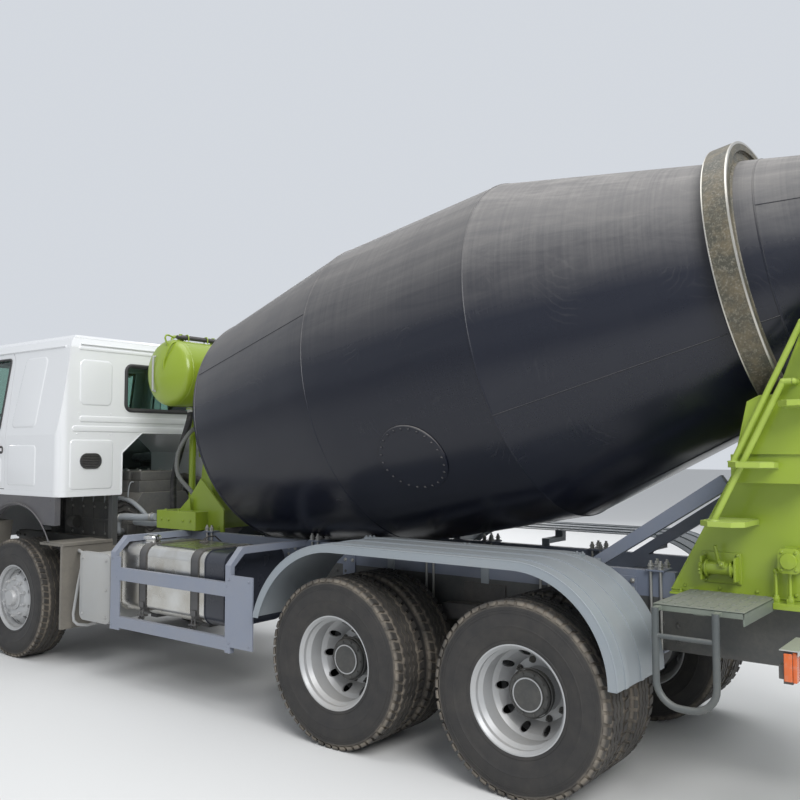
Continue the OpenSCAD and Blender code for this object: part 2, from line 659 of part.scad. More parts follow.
// Front bumper with recesses for the head lamps
module front_bumper() color([0.78, 0.79, 0.80]) placed() {
    difference() {
        along_x(bumper_front - 170, bumper_front) round_rect(-1200, 500, 1200, bumper_top, 60);
        bx([bumper_front - 200, bumper_front - 40], [-1130, 1130], [540, 850]);
        both() along_x(bumper_front - 60, bumper_front + 10) round_rect(710, 610, 1090, 810, 55);
        both() bx([bumper_front - 200, tow_x + 60], [tow_y - 25, tow_y + 25], [490, 560]);
    }
    both() bx([frame_front, bumper_front - 40], [frame_half - 40, frame_half], [760, 840]);
}

// Front guards: steps ahead of the wheel, wheel liner and the splash guard
module front_steps() color([0.15, 0.15, 0.16]) placed() both() {
    difference() {
        along_y(940, 1150) polygon([
            [620, 480], [1180, 420], [1180, 1225], [430, 1225]
        ]);
        pin_y(0, axle_z, 900, 1200, 650);
        for (z = [560, 860]) bx([760, 1100], [1000, 1200], [z, z + 220]);
    }
    bx([700, 780], [frame_half, 940], [940, 1000]);
    difference() {
        along_y(640, 1150) polygon([[-420, 1080], [-790, 1080], [-790, 340], [-560, 340]]);
        along_y(660, 1200) polygon([[-420, 1060], [-760, 1060], [-760, 340], [-560, 340]]);
        pin_y(0, axle_z, 600, 1200, 650);
    }
    bx([-790, -711], [frame_half, 640], [980, 1020]);
}

// Steering knuckles, each with its king pin, spindle and arm
arm_x = -330;
arm_z = 430;
arm_y = king_pin_y - 30;
ball_r = 16;
front_hub_back = king_pin_y + 70;
module knuckle() {
    translate([0, king_pin_y, axle_z - 110]) cylinder(h = 220, r = king_pin_r);
    for (z = [axle_z + 50 + seat, axle_z - 110]) translate([0, king_pin_y, z])
        cylinder(h = 60 - seat, r = 48);
    bx([-45, 45], [king_pin_y + 50, front_hub_back - seat], [axle_z - 110, axle_z + 110]);
    for (z = [axle_z + 50 + seat, axle_z - 110])
        bx([-45, 45], [king_pin_y, king_pin_y + 50], [z, z + 60 - seat]);
}
module arm() {
    rod([-30, king_pin_y, axle_z - 80], [arm_x, arm_y, arm_z], 18);
    translate([arm_x, arm_y, arm_z - 20]) cylinder(h = 40, r = 24);
}
module knuckle_left() color([0.14, 0.14, 0.15]) placed() {
    knuckle();
    arm();
    translate([arm_x, arm_y, arm_z - 62]) cylinder(h = 45, r = ball_r);
}
module knuckle_right() color([0.14, 0.14, 0.15]) placed() mirror([0, 1, 0]) { knuckle(); arm(); }
module track_rod() color([0.14, 0.14, 0.15]) placed() difference() {
    union() {
        pin_y(arm_x, arm_z - 42, -arm_y, arm_y, 14);
        both() translate([arm_x, arm_y, arm_z - 62]) cylinder(h = 40, r = 24);
    }
    translate([arm_x, arm_y, arm_z - 70]) cylinder(h = 60, r = ball_r + 0.1);
}

// Tyre and rims, drawn round the Y axis at their centre plane
hub_back = 640;
rim_flange_r = rim_r + 14;
module spun(y, x) translate([x, y, axle_z]) rotate([-90, 0, 0]) rotate_extrude($fn = 72) children();
module tyre_profile() {
    h = tyre_w / 2;
    w = rim_w / 2;
    polygon([
        [rim_r + seat, -w + 14.3], [rim_flange_r + seat, -w + 10.3], [rim_flange_r + seat, -w],
        [350, -h + 6], [420, -h],
        [480, -h + 5], [520, -h + 20], [tyre_r - 6, -h + 36], [tyre_r, -h + 60],
        [tyre_r, h - 60], [tyre_r - 6, h - 36], [520, h - 20], [480, h - 5], [420, h],
        [350, h - 6], [rim_flange_r + seat, w], [rim_flange_r + seat, w - 10.3], [rim_r + seat, w - 14.3]
    ]);
}
module rim_profile() {
    w = rim_w / 2;
    polygon([
        [rim_flange_r, -w], [rim_flange_r, -w + 10], [rim_r, -w + 14], [rim_r, -90], [268, -60],
        [268, 60], [rim_r, 90], [rim_r, w - 14], [rim_flange_r, w - 10], [rim_flange_r, w],
        [rim_flange_r - 8, w], [rim_r - 10, w - 20], [rim_r - 10, 84], [258, 56], [258, -56],
        [rim_r - 10, -84], [rim_r - 10, -w + 20], [rim_flange_r - 8, -w]
    ]);
}
hand_holes = 10;
module disc(x, y, face, s) {
    difference() {
        translate([x, 0, axle_z]) rotate([-90, 0, 0]) rotate_extrude($fn = 72) polygon([
            [100, face], [180, face], [250, y + s * 30], [262, y + s * 30], [262, y + s * 42],
            [246, y + s * 42], [176, face + 12], [100, face + 12]
        ]);
        for (i = [0:hand_holes - 1]) translate([x, y, axle_z]) rotate([0, (i + 0.5) * 360 / hand_holes, 0])
            translate([0, 0, 216]) rotate([-90, 0, 0]) cylinder(h = 600, r = 24, center = true);
    }
}
module front_rim() {
    y = front_track_half;
    spun(y, 0) rim_profile();
    face = y + 96;
    difference() {
        translate([0, 0, axle_z]) rotate([-90, 0, 0]) rotate_extrude($fn = 72) polygon([
            [90, face + 20], [170, face + 20], [205, face - 4], [240, face - 40], [262, y + 40],
            [258, y + 30], [232, face - 54], [196, face - 18], [165, face + 8], [90, face + 8]
        ]);
        for (i = [0:hand_holes - 1]) translate([0, y, axle_z]) rotate([0, i * 360 / hand_holes, 0])
            translate([0, 0, 222]) rotate([-90, 0, 0]) cylinder(h = 400, r = 20);
    }
    pin_y(0, axle_z, front_hub_back, y + 40, 200);
    pin_y(0, axle_z, y + 40, face + 20, 110);
    pin_y(0, axle_z, face + 20, face + 60, 70);
}
module twin_rim(x) {
    for (s = [-1, 1]) spun(twin_face + s * twin_pitch / 2, x) rim_profile();
    difference() {
        translate([x, 0, axle_z]) rotate([-90, 0, 0]) rotate_extrude($fn = 72) polygon([
            [100, twin_face], [190, twin_face], [240, twin_face + 90], [262, twin_face + 120],
            [262, twin_face + 132], [234, twin_face + 100], [184, twin_face + 12],
            [100, twin_face + 12]
        ]);
        for (i = [0:hand_holes - 1]) translate([x, twin_face, axle_z])
            rotate([0, (i + 0.5) * 360 / hand_holes, 0])
            translate([0, 0, 222]) rotate([-90, 0, 0]) cylinder(h = 300, r = 24, center = true);
    }
    difference() {
        translate([x, 0, axle_z]) rotate([-90, 0, 0]) rotate_extrude($fn = 72) polygon([
            [100, twin_face - seat], [190, twin_face - seat], [240, twin_face - 90],
            [262, twin_face - 120], [262, twin_face - 132], [234, twin_face - 100],
            [184, twin_face - 12], [100, twin_face - 12]
        ]);
        for (i = [0:hand_holes - 1]) translate([x, twin_face, axle_z])
            rotate([0, (i + 0.5) * 360 / hand_holes, 0])
            translate([0, 0, 222]) rotate([-90, 0, 0]) cylinder(h = 300, r = 24, center = true);
    }
    pin_y(x, axle_z, hub_back, twin_face - 60, 200);
    pin_y(x, axle_z, twin_face - 60, twin_face + 90, 130);
    pin_y(x, axle_z, twin_face + 90, twin_face + 175, 95);
}
module side(s) placed() mirror([0, s < 0 ? 1 : 0, 0]) children();
module front_tyre(s) color([0.09, 0.09, 0.09]) side(s) spun(front_track_half, 0) tyre_profile();
module twin_tyre(s, x) color([0.09, 0.09, 0.09]) side(s)
    for (k = [-1, 1]) spun(twin_face + k * twin_pitch / 2, x) tyre_profile();
module silver() color([0.72, 0.73, 0.74]) children();

// Drum shell: dished head, front cone, belly, rear cone and mouth band
hatch_t = 4460;
hatch_a = 124;
module drum_shell() color([0.06, 0.07, 0.12]) placed() on_axis() {
    w = drum_wall;
    head = [for (i = [0:6]) let (t = flange_t + 40 + (head_t - flange_t - 40) * i / 6) [drum_radius(t), t]];
    rotate_extrude($fn = 120) polygon(concat(
        [[0, flange_t], [flange_r, flange_t], [flange_r, flange_t + 40]],
        head,
        [[drum_r, belly_t0], [drum_r, belly_t1], [mouth_r, mouth_t], [mouth_r - w, mouth_t],
         [drum_r - w, belly_t1], [drum_r - w, belly_t0 + w], [head_r - w, head_t + w]],
        [for (i = [5:-1:1]) head[i] + [0, 1.5 * w]],
        [[0, flange_t + 40 + w]]
    ));
    rotate_extrude($fn = 96) polygon([
        [mouth_r, mouth_t - 60], [mouth_r + 26, mouth_t - 60], [mouth_r + 26, mouth_t], [mouth_r - 1, mouth_t]
    ]);
    rotate([0, 0, hatch_a]) intersection() {
        difference() {
            translate([0, 0, belly_t0]) cylinder(h = belly_t1 - belly_t0, r = drum_r + 14, $fn = 120);
            translate([0, 0, belly_t0 - 1]) cylinder(h = belly_t1 - belly_t0 + 2, r = drum_r - 2, $fn = 120);
        }
        translate([0, 0, hatch_t]) rotate([0, 90, 0]) cylinder(h = 2000, r = 250);
    }
}

// Roller ring on its two webs, which stand on the rear cone
module drum_ring() color([0.20, 0.19, 0.17]) placed() on_axis() {
    rotate_extrude($fn = 120) {
        h = ring_w / 2;
        for (t = [ring_t - h + 20, ring_t + h - 32])
            polygon([
                [drum_radius(t) + seat, t], [drum_radius(t + 12) + seat, t + 12],
                [ring_r - 50, t + 12], [ring_r - 50, t]
            ]);
        translate([ring_r - 55, ring_t - h]) square([55, ring_w]);
    }
}

// Two helical blades, each one polyhedron that follows the inside of the shell
blade_t0 = 2750;
blade_t1 = 7420;
blade_steps = 66;
module blade(phase) {
    pts = [for (i = [0:blade_steps])
        let (u = i / blade_steps,
             t = blade_t0 + (blade_t1 - blade_t0) * u,
             a = phase + 360 * blade_turns * u,
             ro = drum_radius(t) - drum_wall - 3,
             ri = ro - blade_h * min(1, (0.4 + 0.6 * ro / drum_r)) )
        for (q = [[ro, t - 4], [ro, t + 4], [ri, t + 4], [ri, t - 4]])
            [q.x * cos(a), q.x * sin(a), q.y]];
    n = blade_steps * 4;
    polyhedron(pts, concat(
        [[3, 2, 1, 0]], [[n, n + 1, n + 2, n + 3]],
        [for (i = [0:blade_steps - 1], j = [0:3])
            [4 * i + j, 4 * i + (j + 1) % 4, 4 * i + 4 + (j + 1) % 4, 4 * i + 4 + j]]
    ), convexity = 10);
}
module drum_blades() color([0.30, 0.29, 0.27]) placed() on_axis() { blade(0); blade(180); }

// Cab: the outer form, drawn again at other depths for the walls and the glass
nose_x = cab_front - 70;
nose_z = 1040;
tunnel_half = 510;
tunnel_top = 2075;
belt_z = 2050;
eave_z = cab_roof - 125;
corner_r = 90;
roof_seam = cab_roof - 115;
floor_seam = cab_floor + cab_wall;
rear_seam = -cab_rear + corner_r;
module cab_side(e) polygon(concat([
    [-cab_rear + e, cab_floor + e], [-cab_rear + e, eave_z], [-cab_rear + 30 + e, cab_roof - 40 - e],
    [-cab_rear + 110 + e, cab_roof - e], [cab_front - 520, cab_roof - e],
    [cab_front - 390 - e, cab_roof - 35 - e], [cab_front - 310 - e, eave_z],
    [cab_front - 20 - e, 1990], [nose_x - e, 1960]],
    e > 0 ? [[nose_x - e, cab_floor + e]] :
        [[nose_x, nose_z], [nose_x - 60, nose_z], [nose_x - 60, cab_floor]]
));
module cab_end(e) polygon([
    [-cab_half + e, 900], [-cab_half + e, belt_z], [-cab_half + 95 + e, eave_z],
    [-cab_half + 130 + e, cab_roof - 45 - e], [-cab_half + 210, cab_roof - e],
    [cab_half - 210, cab_roof - e], [cab_half - 130 - e, cab_roof - 45 - e],
    [cab_half - 95 - e, eave_z], [cab_half - e, belt_z], [cab_half - e, 900]
]);
module cab_form(e) intersection() {
    along_y(-1300, 1300) cab_side(e);
    along_x(-1000, 1600) cab_end(e);
    translate([0, 0, 900]) linear_extrude(2200)
        round_rect(-cab_rear + e, -cab_half + e, cab_front - e, cab_half - e, corner_r);
}
module tunnel(e) along_x(-cab_rear - 10, 700 + e) polygon([
    [-tunnel_half - e, cab_floor - 10], [-tunnel_half - e, 1890 + e * 0.4], [-290 - e * 0.4, tunnel_top + e],
    [290 + e * 0.4, tunnel_top + e], [tunnel_half + e, 1890 + e * 0.4], [tunnel_half + e, cab_floor - 10]
]);
module door_outline(e) polygon([
    [door_rear + e, floor_seam + e], [door_rear + e, roof_seam - 80], [door_rear + 60 + e, roof_seam - e],
    [door_front - 240 - e, roof_seam - e], [door_front - e, belt_z + 70], [door_front - e, floor_seam + e]
]);
module door_window(e) polygon([
    [door_rear + 120 + e, belt_z + 70 + e], [door_rear + 70 + e, roof_seam - 70 - e],
    [door_front - 280 - e, roof_seam - 70 - e], [door_front - 100 - e, belt_z + 90],
    [door_front - 100 - e, belt_z + 30 + e], [door_rear + 150 + e, belt_z + 30 + e]
]);
module screen_cut(e) along_x(900, 1600) polygon([
    [-cab_half + 180 + e, belt_z + 10 + e], [-cab_half + 260 + e, roof_seam - 30 - e],
    [cab_half - 260 - e, roof_seam - 30 - e], [cab_half - 180 - e, belt_z + 10 + e]
]);
module rear_window_cut(e) along_x(-cab_rear - 180, -cab_rear + 120)
    round_rect(-480 + e, roof_seam - 570 + e, 480 - e, roof_seam - 140 - e, 60);
// The cab is welded from panels: roof, floor, tunnel, rear wall, side walls and nose
module cab_seams() {
    x = [-cab_rear - 10, cab_front + 10];
    y = [-cab_half - 10, cab_half + 10];
    for (z = [roof_seam, floor_seam]) bx(x, y, [z, z + seat]);
    bx([rear_seam, rear_seam + seat], y, [floor_seam, roof_seam]);
}
door_hinge_x = door_front - door_gap / 2;
door_hinge_y = cab_half + 9;
module hinge_barrel(z, h) translate([door_hinge_x, door_hinge_y, z]) cylinder(h = h, r = 9);
door_hinge_z = [1650, 1950];
module cab_shell() color([0.88, 0.89, 0.90]) placed() {
    difference() {
        cab_form(0);
        difference() {
            cab_form(cab_wall);
            tunnel(30);
        }
        tunnel(0);
        screen_cut(0);
        rear_window_cut(0);
        along_y(-1300, 1300) door_outline(0);
        cab_seams();
    }
    both() {
        pin_y(lid_x, lid_z, lid_y + 42, lid_y + 82, lid_r);
        bx([nose_x - 5, lid_x], [lid_y + 42, lid_y + 82], [lid_z - 6, lid_z + 6]);
        pin_y(lid_x, lid_z, lid_y - 4, lid_y + 42, 4);
    }
    both() for (z = door_hinge_z) {
        hinge_barrel(z + 40 + seat, 40);
        bx([door_front, door_hinge_x + 12], [cab_half - 4, door_hinge_y + 4], [z + 41, z + 80]);
        translate([door_hinge_x, door_hinge_y, z]) cylinder(h = 60, r = 5);
    }
    both() difference() {
        bx([hinge_x - 35, hinge_x + 30], [365.5, 394.5], [hinge_z - 35, nose_z + 30]);
        pin_y(hinge_x, hinge_z, 360, 400, hinge_pin_r + 0.1);
    }
}
module cab_glass() color([0.30, 0.38, 0.38, 0.5]) placed() intersection() {
    difference() { cab_form(20); cab_form(20 + glass_t); }
    union() { screen_cut(seat); rear_window_cut(seat); }
}
module door(s) color([0.88, 0.89, 0.90]) side(s) {
    difference() {
        intersection() {
            difference() { cab_form(0); cab_form(cab_wall); }
            along_y(500, 1300) door_outline(door_gap);
        }
        along_y(500, 1300) door_window(0);
    }
    for (z = door_hinge_z) difference() {
        union() {
            hinge_barrel(z, 40);
            bx([door_hinge_x - 24, door_hinge_x - 1], [cab_half - 4, door_hinge_y + 4], [z, z + 40]);
        }
        translate([door_hinge_x, door_hinge_y, z - 1]) cylinder(h = 60, r = 5.1);
    }
    bx([door_rear + 60, door_rear + 200], [cab_half, cab_half + 22], [1900, 1930]);
}
module door_glass(s) color([0.30, 0.38, 0.38, 0.5]) side(s) intersection() {
    difference() { cab_form(20); cab_form(20 + glass_t); }
    along_y(500, 1300) door_window(seat);
}
module front_panel() color([0.88, 0.89, 0.90]) placed() difference() {
    union() {
        along_y(-cab_half + 100, cab_half - 100) polygon([
            [nose_x + seat, 985], [cab_front, 985], [cab_front, lid_z - 68], [nose_x + 15, lid_z - 13],
            [nose_x + seat, lid_z - 13]
        ]);
        both() {
            pin_y(lid_x, lid_z, lid_y, lid_y + 40, lid_r);
            bx([nose_x + 4, nose_x + 20], [lid_y, lid_y + 40], [lid_z - 48, lid_z]);
        }
    }
    for (z = [1150:90:1600]) bx([cab_front - 30, cab_front + 10], [-820, 820], [z, z + 50]);
    both() pin_y(lid_x, lid_z, lid_y - 5, lid_y + 45, 4.1);
}
lid_x = nose_x + 12;
lid_z = 1948;
lid_y = 660;
lid_r = 9;

// Cab trim: lower skirts with the wheel arch, mirrors and the sun visor
arch = [-23, 723, 678];
mirror_x = cab_front - 70;
mirror_y = cab_half + 170;
module cab_trim() color([0.14, 0.14, 0.15]) placed() {
    both() {
        difference() {
            bx([-680, 1200], [cab_half - 50, cab_half + 4], [1240, cab_floor - seat]);
            pin_y(arch.x, arch.y, 1000, 1300, arch.z);
        }
        rod([cab_front - 274, cab_half - 67.4, cab_roof - 275], [mirror_x, mirror_y, cab_roof - 275], 14);
        rod([cab_front - 107, cab_half - 6.8, 2153], [mirror_x, mirror_y, 2200], 14);
        rod([mirror_x, mirror_y, 2150], [mirror_x, mirror_y, cab_roof - 225], 14);
        bx([mirror_x - 40, mirror_x + 40], [mirror_y - 90, mirror_y + 110], [2250, 2650]);
    }
    along_y(-950, 950) polygon([
        [cab_front - 349.6, cab_roof - 79.7], [cab_front - 150, cab_roof - 175],
        [cab_front - 144, cab_roof - 163], [cab_front - 359.6, cab_roof - 68.4]
    ]);
}
module cab_interior() color([0.25, 0.24, 0.24]) placed() {
    floor_z = floor_seam + seat;
    room = cab_half - 110;
    bunk_x = [-cab_rear + cab_wall + 10, -80];
    both() {
        bx([180, 680], [560, room - 10], [floor_z, 1900]);
        bx([100, 220], [560, room - 10], [1900, 2500]);
    }
    bx(bunk_x, [-room, room], [tunnel_top + 60, tunnel_top + 160]);
    both() bx(bunk_x, [620, room], [floor_z, tunnel_top + 60 - seat]);
    bx([950, nose_x - cab_wall - seat], [-room, room], [1650, 2050]);
    rod([1000, 720, 1950], [830, 720, 2150], 25);
    translate([830, 720, 2150]) rotate([0, -40, 0]) rotate_extrude() translate([215, 0]) circle(r = 16);
    translate([830, 720, 2150]) rotate([0, -40, 0]) for (a = [0:120:240]) rotate([0, 0, a])
        translate([0, -15, -8]) cube([210, 30, 16]);
}

// Chute: swing bracket, half pipe trough, folding extension and its jack
post_r = 45;
post_z = [1130, 1900];
module on_chute() translate([-swing_x, 0, chute_pin_z]) rotate([0, -90 - chute_slope, 0]) children();

jack_s = 400;
jack_n = -10;
fold_lug = 22;
module trough(s0, s1) {
    translate([rim_n, 0, s0]) difference() {
        cylinder(h = s1 - s0, r = chute_r + chute_wall);
        translate([0, 0, -1]) cylinder(h = s1 - s0 + 2, r = chute_r);
        translate([0, -500, -1]) cube([500, 1000, s1 - s0 + 2]);
    }
}
module chute_bracket() color([0.60, 0.70, 0.15]) placed() {
    translate([-swing_x, 0, post_z[0]]) cylinder(h = post_z[1] - post_z[0], r = post_r);
    translate([-swing_x, 0, 1230 + seat]) cylinder(h = 40, r = post_r + 18);
    bx([-swing_x - 60, -swing_x + 60], [-90, 90], [post_z[1], post_z[1] + 60]);
    both() difference() {
        union() {
            bx([-swing_x - 28, -swing_x + 28], [70, 90], [post_z[1], chute_pin_z]);
            pin_y(-swing_x, chute_pin_z, 70, 90, 28);
        }
        pin_y(-swing_x, chute_pin_z, 60, 100, 16);
    }
    both() bx([-swing_x - 190, -swing_x - 20], [34, 48], [1290, 1370]);
    pin_y(jack_foot.x, jack_foot.y, -40, 40, 10);
}
module swing_chute() color([0.60, 0.70, 0.15]) placed() {
    on_chute() {
        trough(-160, chute_len);
        for (y = [-60, 48]) translate([-15, y, -40]) cube([chute_rise + 17, 12, 80]);
        translate([0, -90.5, 0]) rotate([-90, 0, 0]) cylinder(h = 181, r = 15.9);
        for (y = [-30, 18]) translate([jack_n - 20, y, jack_s - 40]) cube([chute_rise - jack_n + 22, 12, 80]);
        both() {
            translate([rim_n - 40, chute_r, chute_len - 60]) cube([40, fold_lug, 60]);
            translate([rim_n - 5, chute_r + fold_lug - 10, chute_len - 50]) cube([40, 10, 50 + fold_gap + 15]);
            translate([fold_n, chute_r - 4, chute_len + fold_gap]) rotate([-90, 0, 0]) cylinder(h = fold_lug - 2, r = 8);
        }
    }
}
module chute_extension() color([0.60, 0.70, 0.15]) placed() on_chute()
    translate([fold_n, 0, chute_len + fold_gap]) rotate([0, 180, 0]) translate([-fold_n, 0, -chute_len - fold_gap]) {
        trough(chute_len + 2 * fold_gap, chute_len + 700);
        both() difference() {
            union() {
                translate([fold_n, chute_r - 2, chute_len + fold_gap]) rotate([-90, 0, 0]) cylinder(h = 8, r = 20);
                translate([rim_n - 30, chute_r - 2, chute_len + fold_gap]) cube([40, 8, 60]);
            }
            translate([fold_n, chute_r - 5, chute_len + fold_gap]) rotate([-90, 0, 0]) cylinder(h = 14, r = 8.1);
        }
    }

// Jack of the chute: a barrel on the bracket and a rod on the chute
jack_top = [-swing_x - jack_s * cos(chute_slope) - jack_n * sin(chute_slope),
            chute_pin_z - jack_s * sin(chute_slope) + jack_n * cos(chute_slope)];

jack_foot = [-swing_x - 150, 1330];
jack_len = norm(jack_top - jack_foot);
jack_ang = atan2(jack_top.x - jack_foot.x, jack_top.y - jack_foot.y);
module on_jack() translate([jack_foot.x, 0, jack_foot.y]) rotate([0, jack_ang, 0]) children();
module jack_barrel() color([0.25, 0.26, 0.27]) placed() on_jack() {
    difference() {
        translate([0, 0, 15]) cylinder(h = jack_len * 0.6, r = 28);
        translate([0, 0, 30]) cylinder(h = jack_len * 0.6, r = 18.1);
    }
    difference() {
        rotate([90, 0, 0]) cylinder(h = 46, r = 22, center = true);
        rotate([90, 0, 0]) cylinder(h = 60, r = 10.1, center = true);
    }
}
module jack_rod() color([0.75, 0.75, 0.76]) placed() on_jack() {
    translate([0, 0, 110]) cylinder(h = jack_len - 110 - 15, r = 18);
    translate([0, 0, jack_len]) rotate([90, 0, 0]) cylinder(h = 30, r = 22, center = true);
}

chassis_frame();
subframe();
driveline();
front_axle();
rear_bogie();
fuel_tank();
tank_straps();
side_guards();
side_boxes();
exhaust();
air_intake();
rear_mudguards();
front_pedestal();
reducer();
water_tank();
hoses();
rear_pedestal();
bearing_brackets();
ladder();
rear_step();
controls();
feed_hopper();
discharge_hopper();
lamps();
front_bumper();
front_steps();
knuckle_left();
knuckle_right();
track_rod();
front_tyre(1);  // tyre_front_left
front_tyre(-1);  // tyre_front_right
silver() side(1) front_rim();  // rim_front_left
silver() side(-1) front_rim();  // rim_front_right
twin_tyre(1, mid_x);  // tyre_mid_left
twin_tyre(-1, mid_x);  // tyre_mid_right
silver() side(1) twin_rim(mid_x);  // rim_mid_left
silver() side(-1) twin_rim(mid_x);  // rim_mid_right
twin_tyre(1, rear_x);  // tyre_rear_left
twin_tyre(-1, rear_x);  // tyre_rear_right
silver() side(1) twin_rim(rear_x);  // rim_rear_left
silver() side(-1) twin_rim(rear_x);  // rim_rear_right
drum_shell();
drum_ring();
drum_blades();
roller(1);  // roller_left
roller(-1);  // roller_right
cab_shell();
cab_glass();
cab_interior();
cab_trim();
front_panel();
door(1);  // door_left
door(-1);  // door_right
door_glass(1);  // door_glass_left
door_glass(-1);  // door_glass_right
chute_bracket();
swing_chute();
chute_extension();
jack_barrel();
jack_rod();
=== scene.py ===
"""A concrete mixer truck dressed for rendering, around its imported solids.
Sizes are in metres. X points forward, Y to the left and Z up, as in the pack."""
import math

import bmesh
import bpy
from mathutils import Matrix, Vector


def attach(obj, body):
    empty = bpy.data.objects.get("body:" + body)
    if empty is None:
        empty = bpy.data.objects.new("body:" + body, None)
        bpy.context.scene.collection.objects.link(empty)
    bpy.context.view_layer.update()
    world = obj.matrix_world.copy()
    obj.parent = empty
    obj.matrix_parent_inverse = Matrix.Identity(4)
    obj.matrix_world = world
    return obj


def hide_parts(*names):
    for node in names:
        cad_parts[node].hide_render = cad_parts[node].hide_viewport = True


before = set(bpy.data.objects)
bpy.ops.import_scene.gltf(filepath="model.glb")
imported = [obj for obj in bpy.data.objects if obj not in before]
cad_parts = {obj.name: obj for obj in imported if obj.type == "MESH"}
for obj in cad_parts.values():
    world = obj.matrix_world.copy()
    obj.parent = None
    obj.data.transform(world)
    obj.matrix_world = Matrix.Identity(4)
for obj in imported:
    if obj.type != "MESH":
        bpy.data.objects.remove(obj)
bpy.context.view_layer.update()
scene = bpy.context.scene

# Camera and light: the camera stands behind the truck on its left, about 1.9 m
# up. Large soft boxes and a pale world light it, over a plain pale floor that
# keeps the truck's shadow.
FRONT_AXLE_X = 3.624147
CAMERA_YAW = math.radians(-52.495)
CAMERA_PITCH = math.radians(3.296)
FOCAL_PIXELS, IMAGE_PIXELS = 864.834, 800
camera_data = bpy.data.cameras.new("Camera")
camera_data.sensor_width = 36
camera_data.lens = camera_data.sensor_width * FOCAL_PIXELS / IMAGE_PIXELS
camera_data.clip_end = 200
camera = bpy.data.objects.new("Camera", camera_data)
scene.collection.objects.link(camera)
scene.camera = camera
camera.location = (FRONT_AXLE_X - 7.81362, 5.42463, 1.91406)
look = Vector((math.cos(CAMERA_YAW) * math.cos(CAMERA_PITCH), math.sin(CAMERA_YAW) * math.cos(CAMERA_PITCH),
               math.sin(CAMERA_PITCH)))
camera.rotation_mode = "QUATERNION"
camera.rotation_quaternion = look.to_track_quat("-Z", "Y")


def soft_box(name, place, target, size, power):
    """A square area lamp that faces its target."""
    lamp = bpy.data.lights.new(name, "AREA")
    lamp.energy, lamp.size = power, size
    holder = bpy.data.objects.new(name, lamp)
    scene.collection.objects.link(holder)
    holder.location = place
    holder.rotation_mode = "QUATERNION"
    holder.rotation_quaternion = (Vector(target) - Vector(place)).to_track_quat("-Z", "Y")


soft_box("Key", (-10, 7, 10), (0, 0, 1.5), 7, 1500)
soft_box("Sky", (0, 0, 15), (0, 0, 1), 12, 950)
soft_box("Fill", (9, -11, 7), (0, 0, 1.5), 8, 550)
world = bpy.data.worlds.new("Studio")
scene.world = world
world.use_nodes = True
scene.view_settings.view_transform = "Standard"


def feed(node, inputs):
    """Sets inputs of a shader node, or links other nodes' sockets to them."""
    for key, value in inputs.items():
        if isinstance(value, bpy.types.NodeSocket):
            node.id_data.links.new(value, node.inputs[key])
        else:
            node.inputs[key].default_value = value


def add(tree, kind, inputs=None, **settings):
    """A shader node with its settings and its inputs."""
    made = tree.nodes.new(kind)
    for key, value in settings.items():
        setattr(made, key, value)
    feed(made, inputs or {})
    return made


def maths(tree, operation, first, second=0.5, clamp=False):
    """The socket of a sum, a product or another operation."""
    return add(tree, "ShaderNodeMath", {0: first, 1: second}, operation=operation, use_clamp=clamp).outputs[0]


def ramp(tree, value, low, high=1.0, to_low=0.0, to_high=1.0):
    """The socket of a value spread from one range over another."""
    return add(tree, "ShaderNodeMapRange", {"Value": value, "From Min": low, "From Max": high, "To Min": to_low,
                                            "To Max": to_high}).outputs[0]


def colour(r, g, b):
    """A colour without transparency."""
    return (r, g, b, 1.0)


# The camera, glossy and transmitted rays see a brighter world than the lamps' light needs.
background = world.node_tree.nodes["Background"]
feed(background, {"Color": colour(0.8, 0.84, 0.9)})
ray = add(world.node_tree, "ShaderNodeLightPath").outputs
seen = maths(world.node_tree, "ADD", ray["Is Camera Ray"], ray["Is Glossy Ray"], clamp=True)
seen_or_through = maths(world.node_tree, "ADD", seen, ray["Is Transmission Ray"], clamp=True)
feed(background, {"Strength": ramp(world.node_tree, seen_or_through, 0.0, 1.0, 0.62, 0.82)})


def new_material(name):
    made = bpy.data.materials.new(name)
    made.use_nodes = True
    return made, made.node_tree, made.node_tree.nodes["Principled BSDF"]


floor_material, tree, skin = new_material("Floor")
feed(skin, {"Base Color": colour(0.72, 0.72, 0.71), "Roughness": 0.9})
bpy.ops.mesh.primitive_plane_add(size=160)
floor = bpy.context.object
floor.name = "Floor"
floor.data.materials.append(floor_material)

# Chassis: two pressed steel channels with riveted crossmembers, painted dark
# grey under road dust. The grey-blue subframe of box rails lies on them, held
# by bolted clamp plates and by U-bolts with their nuts on top.


def new_group(name, inputs, outputs):
    """A node group with named sockets; returns it with its input and output nodes."""
    group = bpy.data.node_groups.new(name, "ShaderNodeTree")
    for label, kind in inputs:
        group.interface.new_socket(label, in_out="INPUT", socket_type=kind)
    for label, kind in outputs:
        group.interface.new_socket(label, in_out="OUTPUT", socket_type=kind)
    return group, group.nodes.new("NodeGroupInput"), group.nodes.new("NodeGroupOutput")


def mix_colours(tree, factor, first, second):
    """The socket of a mix of two colours."""
    return add(tree, "ShaderNodeMix", {0: factor, 6: first, 7: second}, data_type="RGBA").outputs[2]


def noise(tree, place, scale, detail=2.0, roughness=0.5, distortion=0.0):
    """The socket of a cloudy pattern."""
    return add(tree, "ShaderNodeTexNoise", {"Vector": place, "Scale": scale, "Detail": detail,
                                            "Roughness": roughness, "Distortion": distortion}).outputs["Fac"]


def relief(tree, height, distance, strength=0.5, under=None):
    """The normal of a fine relief, over the normal of another one if there is one."""
    inputs = {"Height": height, "Distance": distance, "Strength": strength}
    return add(tree, "ShaderNodeBump", {**inputs, "Normal": under} if under else inputs).outputs["Normal"]


def spot_on(tree):
    """The place on the object itself, so a finish rides on its piece."""
    return add(tree, "ShaderNodeTexCoord").outputs["Object"]


